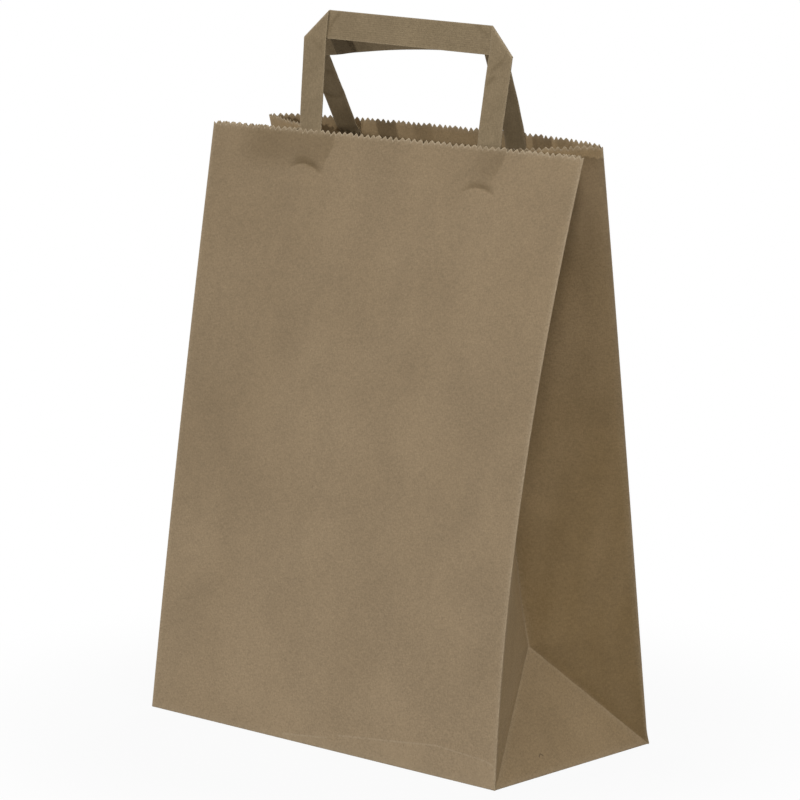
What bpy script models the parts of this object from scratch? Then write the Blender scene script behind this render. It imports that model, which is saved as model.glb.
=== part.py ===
"""Kraft paper carrier bag with flat tape handles, standing open.

The bag is one folded sheet: a front and a rear panel, two side gussets that fold inwards along a
centre crease, and a block bottom of overlapping flaps. Each handle is a paper tape folded over at 45
degrees at its two corners, with its legs glued inside the mouth under a paper patch.

Units are metres and degrees. +Z is up, -Y is the front, and the origin is the middle of the base.
"""

import math

import bmesh
import bpy
from mathutils import Vector

# Bag sheet
WIDTH = 0.254
DEPTH = 0.127
PANEL_LENGTH = 0.330
PAPER = 0.0003

# How strongly each panel edge is drawn in at its foot, half-way up and at the rim. At 1 all the way up, the
# rim would come half the depth inwards. The bow holds the middle of the rear panel back.
FRONT_LEFT_DRAW = (0.7075, 0.8163, 0.8889)
FRONT_RIGHT_DRAW = (0.2086, 1.0884, 1.7143)
REAR_LEFT_DRAW = (0.0, 0.3809, 1.4512)
REAR_RIGHT_DRAW = (0.7075, 0.7075, 0.7710)
REAR_BOW = 0.2993

# Folds: width of a pressed edge and of the gusset's centre crease
EDGE_FOLD = 2.4 * PAPER
CREASE_FOLD = 0.0004
APEX_DROP = 0.0028
APEX_DROP_FADE = 0.060

# Zigzag cut along the mouth
TOOTH_PITCH = 0.004
TOOTH_DEPTH = 0.0016
RIM_BAND = 0.006

# Glued tube seam on the rear panel and flaps of the block bottom
SEAM_FROM_EDGE = 0.022
SEAM_OVERLAP = 0.015
SEAM_STEP = 0.0001
FLAP_PAST_MIDDLE = 0.012
FLAP_INSET = 0.0004

# Handle tape
TAPE_WIDTH = 0.0155
TAPE_THICKNESS = 0.0008
HANDLE_WIDTH = 0.142
HANDLE_TOP = 0.0695
LEG_LENGTH_BELOW_ROOT = 0.050
TAPE_OVERLAP = 0.00005
SEAT_GAP = 0.00032
HANDLE_ROOT_BELOW_RIM = 0.0048
HANDLE_BEND = 0.012

# Where each handle stands: the middle of its legs, how deep it is pushed in, how far its plane is turned
# about Z and tips in that plane, what share of the mouth it reaches over, how far each leg is drawn in at its
# root, and where above the root the legs start to bend from the panel's direction into that plane
FRONT_HANDLE = {"name": "front_handle", "centre": 0.0034, "sunk": 0.0, "turn": 4.0, "tip": -2.1, "reach": 0.2058,
                "draw_in": (0.0028, 0.0015), "bend_from": HANDLE_ROOT_BELOW_RIM}
REAR_HANDLE = {"name": "rear_handle", "centre": -0.0078, "sunk": 0.0072, "turn": 2.5, "tip": 3.9, "reach": -0.6684,
               "draw_in": (0.0009, -0.0019), "bend_from": -HANDLE_BEND / 2}

# Handle patch: a strip of kraft glued over the legs inside the panel
PATCH_BELOW_RIM = 0.022
PATCH_HEIGHT = 0.045
PATCH_PAST_LEGS = 0.014
PATCH_ROOM = 0.003
PATCH_SLOPE = 0.003

# Mesh density
PANEL_COLUMNS = 16
GUSSET_COLUMNS = 3
TRIANGLE_COLUMNS = 4
FOOT_ROWS = (0.0, 0.1, 0.3, 0.55, 0.8)
BODY_ROWS = 9
PATCH_ROWS = 5
LEG_ROW = 0.005

HALF_WIDTH = WIDTH / 2
HALF_DEPTH = DEPTH / 2
FOOT_LEVEL = 2 * PAPER

FRONT = -1
REAR = 1
RIGHT = 1
LEFT = -1

HANDLES = {FRONT: FRONT_HANDLE, REAR: REAR_HANDLE}

KRAFT = (0.245, 0.188, 0.120)
KRAFT_TAPE = (0.235, 0.180, 0.115)


def clear_scene():
    """Remove every object that the scene starts with."""
    for obj in list(bpy.data.objects):
        bpy.data.objects.remove(obj, do_unlink=True)


def paper_material(name, colour):
    """Matt, uncoated kraft paper."""
    material = bpy.data.materials.new(name)
    material.use_nodes = True
    shader = material.node_tree.nodes["Principled BSDF"]
    shader.inputs["Base Color"].default_value = (*colour, 1.0)
    shader.inputs["Roughness"].default_value = 0.85
    shader.inputs["Metallic"].default_value = 0.0
    return material


def mix(a, b, t):
    return a + (b - a) * t


def ease(t):
    """Smooth step from 0 to 1."""
    t = min(max(t, 0.0), 1.0)
    return t * t * (3 - 2 * t)


def lean_at(draws, t):
    """Lean in radians at the fraction t of the panel's length, on a parabola through the three values."""
    foot, middle, rim = draws
    bend = 2 * (foot + rim - 2 * middle)
    return (foot + (rim - foot - bend) * t + bend * t * t) * HALF_DEPTH / PANEL_LENGTH


def rib(draws, length, steps=12):
    """How far a line drawn up the panel runs inwards and rises over this length, by Simpson's rule."""
    run = rise = 0.0
    for i in range(steps + 1):
        weight = 1 if i in (0, steps) else 4 if i % 2 else 2
        angle = lean_at(draws, length * i / steps / PANEL_LENGTH)
        run += weight * math.sin(angle)
        rise += weight * math.cos(angle)
    third = length / steps / 3
    return run * third, rise * third


def panel_point(side, x, height):
    """Point on the outer face of the front or rear panel, at a height measured along the paper."""
    left, right = (FRONT_LEFT_DRAW, FRONT_RIGHT_DRAW) if side == FRONT else (REAR_LEFT_DRAW, REAR_RIGHT_DRAW)
    across = (x + HALF_WIDTH) / WIDTH
    foot, middle, rim = (mix(a, b, across) for a, b in zip(left, right))
    if side == REAR:
        bow = REAR_BOW * (1 - (x / HALF_WIDTH) ** 4)
        middle -= bow / 2
        rim -= bow
    run, rise = rib((foot, middle, rim), height)
    return Vector((x, side * (HALF_DEPTH - run), FOOT_LEVEL + rise))


def gusset_edge(side, half, height):
    """Where a gusset half leaves the pressed edge that it shares with its panel."""
    edge = panel_point(half, side * HALF_WIDTH, height)
    return edge - Vector((0, half * EDGE_FOLD, 0))


def gusset_crease(side, half, height):
    """Point on the gusset's centre crease. Below half the depth it lies on the 45 degree crease instead."""
    on_crease = max(height, HALF_DEPTH)
    front = gusset_edge(side, FRONT, on_crease)
    rear = gusset_edge(side, REAR, on_crease)
    half_gap = (rear.y - front.y) / 2
    reach = math.sqrt(max(HALF_DEPTH ** 2 - half_gap ** 2, 0.0))
    drop = APEX_DROP * (1 - ease((on_crease - HALF_DEPTH) / APEX_DROP_FADE))
    middle = (front + rear) / 2
    crease = middle + Vector((-side * reach, half * CREASE_FOLD / 2, -drop))
    if height >= HALF_DEPTH:
        return crease
    return gusset_edge(side, half, 0.0).lerp(crease, height / HALF_DEPTH)


def gusset_point(side, half, across, height):
    """Point on a gusset half: across is 0 at the panel's edge and 1 at the crease."""
    return gusset_edge(side, half, height).lerp(gusset_crease(side, half, height), across)


def tooth(flat_x):
    """How far the zigzag cut lies below the rim, at this place across the bag when it is folded flat."""
    phase = (flat_x / TOOTH_PITCH) % 1.0
    return TOOTH_DEPTH * (1 - abs(2 * phase - 1))


def stations(start, end, fine, columns):
    """Places across a stretch of paper: even columns, or each peak and notch of the zigzag cut."""
    if not fine:
        return [mix(start, end, i / columns) for i in range(columns + 1)]
    half_pitch = TOOTH_PITCH / 2
    low, high = min(start, end), max(start, end)
    first = math.floor(low / half_pitch) + 1
    inner = [i * half_pitch for i in range(first, math.ceil(high / half_pitch))]
    margin = half_pitch / 10
    inner = [x for x in inner if low + margin < x < high - margin]
    return [start, *(inner if start < end else inner[::-1]), end]


class Row:
    """One closed line round the bag at one height, split into the stretches between its folds.

    Each entry of places is (kind, side or half, across, flat x), and each stretch lists the indices of
    its points, which it shares with the next stretch.
    """

    def __init__(self, height, fine=False):
        self.height = height
        self.places = []
        self.stretches = {}
        self.fine = fine
        self.add_panel(FRONT)
        self.add_gusset(RIGHT, (FRONT, REAR))
        self.add_panel(REAR)
        self.add_gusset(LEFT, (REAR, FRONT))
        for indices in self.stretches.values():
            indices[:] = [i % len(self.places) for i in indices]

    def add(self, name, places, joined):
        """Append a stretch. Its first point is the last one of the stretch before, where it is joined."""
        start = len(self.places) - 1 if joined else len(self.places)
        fresh = places[1:] if joined else places
        self.places += fresh
        self.stretches[name] = list(range(start, len(self.places)))

    def add_panel(self, side):
        ends = (-HALF_WIDTH, HALF_WIDTH) if side == FRONT else (HALF_WIDTH, -HALF_WIDTH)
        columns = stations(*ends, self.fine, PANEL_COLUMNS)
        if side == REAR:
            step = SEAM_FROM_EDGE - HALF_WIDTH
            columns += [step, step - SEAM_STEP, step - SEAM_OVERLAP]
            columns.sort(reverse=True)
        places = [("panel", side, x, x) for x in columns]
        self.add(f"panel{side}", places, joined=side == REAR)

    def add_gusset(self, side, halves):
        foot = self.height <= 0.0
        below_apex = self.height < HALF_DEPTH
        half = halves[0]
        self.add(f"fold{side}{half}", [self.places[-1], ("gusset", (side, half), 0.0, HALF_WIDTH)], joined=True)
        self.add(f"half{side}{half}", self.half_places(side, half, foot), joined=True)
        columns = TRIANGLE_COLUMNS if below_apex else 1
        middle = [("triangle", (side, halves), i / columns, HALF_WIDTH - HALF_DEPTH) for i in range(columns + 1)]
        self.add(f"middle{side}", middle, joined=True)
        half = halves[1]
        self.add(f"half{side}{half}", self.half_places(side, half, foot)[::-1], joined=True)
        last = ("panel", half, side * HALF_WIDTH, HALF_WIDTH)
        if half == REAR:
            self.add(f"fold{side}{half}", [self.places[-1], last], joined=True)
        else:
            start = len(self.places) - 1
            self.stretches[f"fold{side}{half}"] = [start, start + 1]

    def half_places(self, side, half, foot):
        """Places across a gusset half, from the panel's edge to the crease. At the foot they are one."""
        if foot:
            return [("gusset", (side, half), 0.0, HALF_WIDTH)]
        flat = stations(0.0, HALF_DEPTH, self.fine, GUSSET_COLUMNS)
        return [("gusset", (side, half), x / HALF_DEPTH, HALF_WIDTH - x) for x in flat]

    def point(self, place, height):
        kind, part, across, _ = place
        if kind == "panel":
            return panel_point(part, across, height)
        if kind == "gusset":
            return gusset_point(*part, across, height)
        side, halves = part
        return gusset_crease(side, halves[0], height).lerp(gusset_crease(side, halves[1], height), across)

    def outer(self, cut):
        """Points of the outer face, with the seam's raised ply and, at the rim, the zigzag cut."""
        points = []
        step = SEAM_FROM_EDGE - HALF_WIDTH
        for place in self.places:
            kind, part, across, flat_x = place
            point = self.point(place, self.height - (tooth(flat_x) if cut else 0.0))
            if kind == "panel" and part == REAR and step - SEAM_OVERLAP < across < step:
                point.y += PAPER * (across - step + SEAM_OVERLAP) / SEAM_OVERLAP
            points.append(point)
        return points

    def inner(self, cut):
        """Points of the inner face: the line offset inwards by the paper's thickness, mitred at folds."""
        line = [self.point(place, self.height) for place in self.places]
        points = []
        for i, place in enumerate(self.places):
            before = edge_normal(line[i - 1], line[i])
            after = edge_normal(line[i], line[(i + 1) % len(line)])
            mitre = (before + after) / (1 + before.dot(after))
            point = self.point(place, self.height - (tooth(place[3]) if cut else 0.0))
            points.append(point + PAPER * mitre)
        return points


def edge_normal(start, end):
    """Unit vector in XY to the left of the way from start to end, which is into the bag."""
    way = (end - start).to_2d().normalized()
    return Vector((-way.y, way.x, 0.0))


def stitch(bm, low, high, low_share, high_share, inward):
    """Triangles between two lines of vertices, paired by their share of the way along."""
    i = j = 0
    while i < len(low) - 1 or j < len(high) - 1:
        step_low = j == len(high) - 1 or (i < len(low) - 1 and low_share[i + 1] <= high_share[j + 1])
        if step_low:
            corners = [low[i], low[i + 1], high[j]]
            i += 1
        else:
            corners = [low[i], high[j + 1], high[j]]
            j += 1
        bm.faces.new(corners[::-1] if inward else corners)


def shares(points, indices):
    """How far along its stretch each point lies, from 0 to 1."""
    lengths = [0.0]
    for a, b in zip(indices, indices[1:]):
        lengths.append(lengths[-1] + (points[b] - points[a]).length)
    total = lengths[-1] or 1.0
    return [length / total for length in lengths]


def add_skin(bm, rows, skins, inward):
    """Faces of one side of the sheet, stretch by stretch between neighbouring rows."""
    vertices = [[bm.verts.new(point) for point in points] for points in skins]
    for k in range(len(rows) - 1):
        for name, low in rows[k].stretches.items():
            high = rows[k + 1].stretches[name]
            stitch(
                bm,
                [vertices[k][i] for i in low],
                [vertices[k + 1][i] for i in high],
                shares(skins[k], low),
                shares(skins[k + 1], high),
                inward,
            )
    return vertices


def mesh_object(name, bm, material):
    """Turn a bmesh into a named object with its material, with smooth faces between the folds."""
    bmesh.ops.remove_doubles(bm, verts=bm.verts, dist=1e-7)
    mesh = bpy.data.meshes.new(name)
    bm.to_mesh(mesh)
    bm.free()
    mesh.materials.append(material)
    mesh.shade_smooth()
    mesh.set_sharp_from_angle(angle=math.radians(25))
    obj = bpy.data.objects.new(name, mesh)
    bpy.context.scene.collection.objects.link(obj)
    return obj


def prism(bm, outline, low, high):
    """Closed prism over an outline in the plane of its first two coordinates."""
    base = [bm.verts.new((x, y, low)) for x, y in outline]
    top = [bm.verts.new((x, y, high)) for x, y in outline]
    bm.faces.new(base[::-1])
    bm.faces.new(top)
    for i in range(len(base)):
        j = (i + 1) % len(base)
        bm.faces.new((base[i], base[j], top[j], top[i]))


def cutter_object(name, bm):
    """Helper solid for a Boolean, left out of the model itself."""
    mesh = bpy.data.meshes.new(name)
    bm.to_mesh(mesh)
    bm.free()
    obj = bpy.data.objects.new(name, mesh)
    bpy.context.scene.collection.objects.link(obj)
    obj.hide_render = True
    obj.display_type = "WIRE"
    return obj


def join_solids(obj, helpers):
    """Unite helper solids with an object, apply the result and remove the helpers."""
    for helper in helpers:
        modifier = obj.modifiers.new(helper.name, "BOOLEAN")
        modifier.operation = "UNION"
        modifier.solver = "EXACT"
        modifier.object = helper
    bpy.context.view_layer.update()
    graph = bpy.context.evaluated_depsgraph_get()
    joined = bpy.data.meshes.new_from_object(obj.evaluated_get(graph))
    old = obj.data
    obj.modifiers.clear()
    obj.data = joined
    joined.name = obj.name
    bpy.data.meshes.remove(old)
    for helper in helpers:
        bpy.data.objects.remove(helper, do_unlink=True)


def bottom_flap(side, level):
    """One long flap of the block bottom: a trapezoid whose ends are folded at 45 degrees."""
    fold = HALF_DEPTH - FLAP_INSET
    free = -FLAP_PAST_MIDDLE
    wide = HALF_WIDTH - FLAP_INSET
    narrow = wide - (fold - free)
    outline = [(-wide, side * fold), (wide, side * fold), (narrow, side * free), (-narrow, side * free)]
    if side == REAR:
        outline.reverse()
    bm = bmesh.new()
    prism(bm, outline, level, FOOT_LEVEL + PAPER / 2)
    return cutter_object("flap", bm)


def bag_body(material):
    """The folded sheet: panels, gussets, zigzag rim and floor, with the flaps of the block bottom."""
    body_top = PANEL_LENGTH - RIM_BAND
    heights = [share * HALF_DEPTH for share in FOOT_ROWS]
    heights += [mix(HALF_DEPTH, body_top, i / BODY_ROWS) for i in range(BODY_ROWS + 1)]
    rows = [Row(height) for height in heights]
    rows.append(Row(PANEL_LENGTH, fine=True))
    cuts = [row.fine for row in rows]
    outer = [row.outer(cut) for row, cut in zip(rows, cuts)]
    inner = [row.inner(cut) for row, cut in zip(rows, cuts)]
    for point in inner[0]:
        point.z += PAPER

    bm = bmesh.new()
    outside = add_skin(bm, rows, outer, inward=False)
    inside = add_skin(bm, rows, inner, inward=True)
    bm.faces.new(outside[0][::-1])
    bm.faces.new(inside[0])
    rim_out, rim_in = outside[-1], inside[-1]
    for i in range(len(rim_out)):
        j = (i + 1) % len(rim_out)
        bm.faces.new((rim_out[i], rim_out[j], rim_in[j], rim_in[i]))
    body = mesh_object("bag_body", bm, material)
    join_solids(body, [bottom_flap(FRONT, PAPER), bottom_flap(REAR, 0.0)])
    return body


def tape_leg(inner_first):
    """A straight leg of flat tape in rows, with its top end folded off at 45 degrees."""
    bm = bmesh.new()
    low = -LEG_LENGTH_BELOW_ROOT
    shoulder = HANDLE_TOP - TAPE_WIDTH
    count = math.ceil((shoulder - low) / LEG_ROW)
    levels = [mix(low, shoulder, i / count) for i in range(count + 1)]
    left, right = 0.0, TAPE_WIDTH
    outlines = [[(left, v), (right, v)] for v in levels]
    thick = (0.0, TAPE_THICKNESS + TAPE_OVERLAP)
    grid = [[[bm.verts.new((u, v, n)) for u, v in outline] for n in thick] for outline in outlines]
    peak = [bm.verts.new((right if inner_first else left, HANDLE_TOP, n)) for n in thick]
    for low_row, high_row in zip(grid, grid[1:]):
        quad_faces(bm, low_row, high_row)
    (a0, b0), (a1, b1) = grid[0]
    bm.faces.new((a0, b0, b1, a1))
    (a0, b0), (a1, b1) = grid[-1]
    bm.faces.new((a0, peak[0], b0))
    bm.faces.new((a1, b1, peak[1]))
    bm.faces.new((a0, a1, peak[1], peak[0]))
    bm.faces.new((b0, peak[0], peak[1], b1))
    return bm


def quad_faces(bm, low_row, high_row):
    """Four side faces between two rectangular sections of a tape."""
    (la0, lb0), (la1, lb1) = low_row
    (ha0, hb0), (ha1, hb1) = high_row
    bm.faces.new((la0, ha0, hb0, lb0))
    bm.faces.new((la1, lb1, hb1, ha1))
    bm.faces.new((la0, la1, ha1, ha0))
    bm.faces.new((lb0, hb0, hb1, lb1))


def tape_bar():
    """The cross bar of a handle, a trapezoid whose slanted ends are the 45 degree folds."""
    bm = bmesh.new()
    shoulder = HANDLE_TOP - TAPE_WIDTH
    outline = [(0.0, shoulder), (HANDLE_WIDTH, shoulder),
               (HANDLE_WIDTH - TAPE_WIDTH, HANDLE_TOP), (TAPE_WIDTH, HANDLE_TOP)]
    prism(bm, outline, TAPE_THICKNESS, 2 * TAPE_THICKNESS)
    return bm


def mouth_at(x):
    """How far apart the two rims stand at this place across the bag."""
    return panel_point(REAR, x, PANEL_LENGTH).y - panel_point(FRONT, x, PANEL_LENGTH).y


def handle_axes(spec):
    """Unit vectors along the bar, up the legs and out of the back of a handle's plane."""
    turn, tip = (math.radians(spec[key]) for key in ("turn", "tip"))
    lean = math.atan(spec["reach"] * mouth_at(spec["centre"]) / HANDLE_TOP)
    across = Vector((math.cos(turn), math.sin(turn), 0.0))
    back = Vector((-math.sin(turn), math.cos(turn), 0.0))
    up = Vector((0, 0, 1)) * math.cos(lean) + back * math.sin(lean)
    along = across * math.cos(tip) + up * math.sin(tip)
    rise = up * math.cos(tip) - across * math.sin(tip)
    return along, rise, along.cross(rise) * -1


def seat_point(side, x, height, stand_off):
    """Point inside the mouth, this far from the panel's inner face, measured along Y."""
    point = panel_point(side, x, height)
    point.y -= side * (PAPER + stand_off)
    return point


def place_on_handle(side, spec, u, v, n):
    """Bend a point of the flat handle: in its own plane above the rim, and along the panel below it.

    u runs across the handle, v up from its root and n from the outer face towards the other handle.
    """
    along, rise, back = handle_axes(spec)
    v -= spec["sunk"]
    shoulder = HANDLE_TOP - TAPE_WIDTH - spec["sunk"]
    share = max((shoulder - v) / shoulder, 0.0)
    left, right = spec["draw_in"]
    u += left * share if u < HANDLE_WIDTH / 2 else -right * share
    u -= HANDLE_WIDTH / 2
    root_height = PANEL_LENGTH - HANDLE_ROOT_BELOW_RIM
    root = seat_point(side, spec["centre"], root_height, SEAT_GAP)
    level = root + along * u
    flat = level + rise * v
    flat.y += (seat_point(side, level.x, root_height, SEAT_GAP).y - level.y) * min(share, 1.0)
    seated = seat_point(side, flat.x, root_height + v, SEAT_GAP + n)
    return seated.lerp(flat - side * back * n, ease((v - spec["bend_from"]) / HANDLE_BEND))


def handle(side, material):
    """One handle: two legs and a bar of tape, folded over each other at the corners."""
    spec = HANDLES[side]
    left = cutter_object("left_leg", tape_leg(inner_first=True))
    right_bm = tape_leg(inner_first=False)
    bmesh.ops.translate(right_bm, verts=right_bm.verts, vec=(HANDLE_WIDTH - TAPE_WIDTH, 0, 0))
    right = cutter_object("right_leg", right_bm)
    obj = mesh_object(spec["name"], tape_bar(), material)
    join_solids(obj, [left, right])
    for vertex in obj.data.vertices:
        vertex.co = place_on_handle(side, spec, *vertex.co)
    if side == FRONT:
        obj.data.flip_normals()
    return obj


def leg_places(side):
    """Low and high x of each leg of the handle on this panel, over the height of the patch."""
    spec = HANDLES[side]
    levels = [HANDLE_ROOT_BELOW_RIM + spec["sunk"] - PATCH_BELOW_RIM - drop for drop in (0.0, PATCH_HEIGHT)]
    ends = []
    for low in (0.0, HANDLE_WIDTH - TAPE_WIDTH):
        sides = [[place_on_handle(side, spec, low + add, level, 0.0).x for level in levels]
                 for add in (0.0, TAPE_WIDTH)]
        ends.append((min(sides[0]), max(sides[1])))
    return ends


def patch_profile(side):
    """(x, stand-off) corners of the patch across the panel: against it, and raised over each leg."""
    over = 2 * SEAT_GAP + TAPE_THICKNESS + TAPE_OVERLAP
    legs = leg_places(side)
    profile = [(legs[0][0] - PATCH_PAST_LEGS, SEAT_GAP)]
    for low, high in legs:
        profile += [(low - PATCH_ROOM - PATCH_SLOPE, SEAT_GAP), (low - PATCH_ROOM, over),
                    (high + PATCH_ROOM, over), (high + PATCH_ROOM + PATCH_SLOPE, SEAT_GAP)]
    profile.append((legs[1][1] + PATCH_PAST_LEGS, SEAT_GAP))
    return profile


def patch(side, name, material):
    """The paper strip that holds a handle's legs against the inside of its panel."""
    profile = patch_profile(side)
    top = PANEL_LENGTH - PATCH_BELOW_RIM
    bm = bmesh.new()
    grid = []
    for k in range(PATCH_ROWS + 1):
        height = mix(top - PATCH_HEIGHT, top, k / PATCH_ROWS)
        grid.append([
            [bm.verts.new(seat_point(side, x, height, stand_off + ply)) for x, stand_off in profile]
            for ply in (0.0, PAPER)
        ])
    last = len(profile) - 1
    for low, high in zip(grid, grid[1:]):
        for i in range(last):
            bm.faces.new((low[0][i], low[0][i + 1], high[0][i + 1], high[0][i]))
            bm.faces.new((low[1][i + 1], low[1][i], high[1][i], high[1][i + 1]))
        bm.faces.new((low[1][0], low[0][0], high[0][0], high[1][0]))
        bm.faces.new((low[0][last], low[1][last], high[1][last], high[0][last]))
    for i in range(last):
        bm.faces.new((grid[0][0][i + 1], grid[0][0][i], grid[0][1][i], grid[0][1][i + 1]))
        bm.faces.new((grid[-1][0][i], grid[-1][0][i + 1], grid[-1][1][i + 1], grid[-1][1][i]))
    if side == REAR:
        bmesh.ops.reverse_faces(bm, faces=bm.faces)
    return mesh_object(name, bm, material)


def main():
    clear_scene()
    sheet = paper_material("kraft_sheet", KRAFT)
    tape = paper_material("kraft_tape", KRAFT_TAPE)
    bag_body(sheet)
    handle(FRONT, tape)
    handle(REAR, tape)
    patch(FRONT, "front_handle_patch", sheet)
    patch(REAR, "rear_handle_patch", sheet)


main()
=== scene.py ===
"""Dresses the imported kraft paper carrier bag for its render.

The bag is one thin folded sheet with a zigzag-cut mouth. Two flat tape handles are folded over at 45
degrees at their corners, with their legs glued inside the mouth under paper patches, and the block bottom
has two long glued flaps. Every piece here stands in the row frame of the solids, in metres.
"""

from __future__ import annotations

import logging
import math
from collections.abc import Callable
from dataclasses import dataclass, field
from enum import Enum

import bpy
import numpy as np
from mathutils import Matrix, Vector

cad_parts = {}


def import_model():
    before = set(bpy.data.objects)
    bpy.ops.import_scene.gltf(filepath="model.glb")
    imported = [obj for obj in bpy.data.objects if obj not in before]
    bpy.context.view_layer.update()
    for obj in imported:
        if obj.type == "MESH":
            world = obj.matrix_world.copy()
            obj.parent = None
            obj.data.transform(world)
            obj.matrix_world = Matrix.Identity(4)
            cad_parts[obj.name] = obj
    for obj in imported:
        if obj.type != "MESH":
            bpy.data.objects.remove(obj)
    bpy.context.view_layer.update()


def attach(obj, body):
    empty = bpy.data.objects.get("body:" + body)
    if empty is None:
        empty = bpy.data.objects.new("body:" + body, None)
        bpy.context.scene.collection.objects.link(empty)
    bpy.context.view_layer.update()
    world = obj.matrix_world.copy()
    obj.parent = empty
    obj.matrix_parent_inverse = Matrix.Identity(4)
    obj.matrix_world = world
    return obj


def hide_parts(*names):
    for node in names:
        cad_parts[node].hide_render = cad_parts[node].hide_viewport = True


LOG = logging.getLogger("carrier_bag")
SAME_PLACE = 4e-6

Array = np.ndarray
Field = Callable[[Array, Array], Array]
Line = tuple[tuple[float, float], ...]


class Side(Enum):
    """The two wide panels, by the sign of y on their side."""

    FRONT = -1
    REAR = 1


class Hand(Enum):
    """The two gusseted sides, by the sign of x."""

    LEFT = -1
    RIGHT = 1


# Small shaping functions


def ease(share: Array | float) -> Array:
    """Smooth step from 0 to 1."""
    share = np.clip(share, 0.0, 1.0)
    return share * share * (3 - 2 * share)


def hump(distance: Array, width: float) -> Array:
    """Bell that is 1 at no distance and fades out past the width."""
    return np.exp(-((distance / width) ** 2))


def plateau(value: Array, low: float, high: float, soft: float) -> Array:
    """1 between low and high, fading to 0 over a soft edge on each side."""
    return ease((value - low) / soft + 0.5) * ease((high - value) / soft + 0.5)


def nothing(first: Array, second: Array) -> Array:
    """A field that is 0 everywhere."""
    return np.zeros(np.broadcast(first, second).shape)


def pair(first: Array, second: Array) -> Array:
    """Places made of two coordinates, which are first spread to one shape."""
    return np.stack(np.broadcast_arrays(first, second), -1)


def line_distance(x: Array, y: Array, points: Line) -> Array:
    """Distance from each place to a broken line.

    Args:
        x: First coordinates.
        y: Second coordinates.
        points: Corners of the line.

    Returns:
        The distance of each place to the nearest stretch of the line.
    """
    best = np.full(np.broadcast(x, y).shape, 1.0)
    for (ax, ay), (bx, by) in zip(points, points[1:]):
        way = np.array([bx - ax, by - ay])
        share = ((x - ax) * way[0] + (y - ay) * way[1]) / (way @ way)
        share = np.clip(share, 0.0, 1.0)
        best = np.minimum(best, np.hypot(x - ax - share * way[0], y - ay - share * way[1]))
    return best


class SoftNoise:
    """Smooth, repeatable unevenness made of a few waves."""

    def __init__(self, seed: int, length: float, waves: int = 14) -> None:
        """Choose the waves.

        Args:
            seed: Start of the random choice.
            length: Typical wave length in metres.
            waves: How many waves are summed.
        """
        chance = np.random.default_rng(seed)
        angle = chance.uniform(0, 2 * math.pi, waves)
        pitch = 2 * math.pi / (length * chance.uniform(0.6, 1.7, waves))
        self.along = pitch * np.cos(angle)
        self.across = pitch * np.sin(angle)
        self.phase = chance.uniform(0, 2 * math.pi, waves)

    def __call__(self, x: Array, y: Array) -> Array:
        """Value of about -1 to 1 at each place."""
        x, y = np.broadcast_arrays(x, y)
        total = np.zeros(x.shape)
        for along, across, phase in zip(self.along, self.across, self.phase):
            total += np.sin(along * x + across * y + phase)
        return total / math.sqrt(len(self.phase)) / 1.5


# The folded shape


@dataclass(frozen=True)
class Draw:
    """How strongly one edge of a panel is drawn in at its foot, half-way up and at the rim."""

    foot: float
    middle: float
    rim: float


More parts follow.
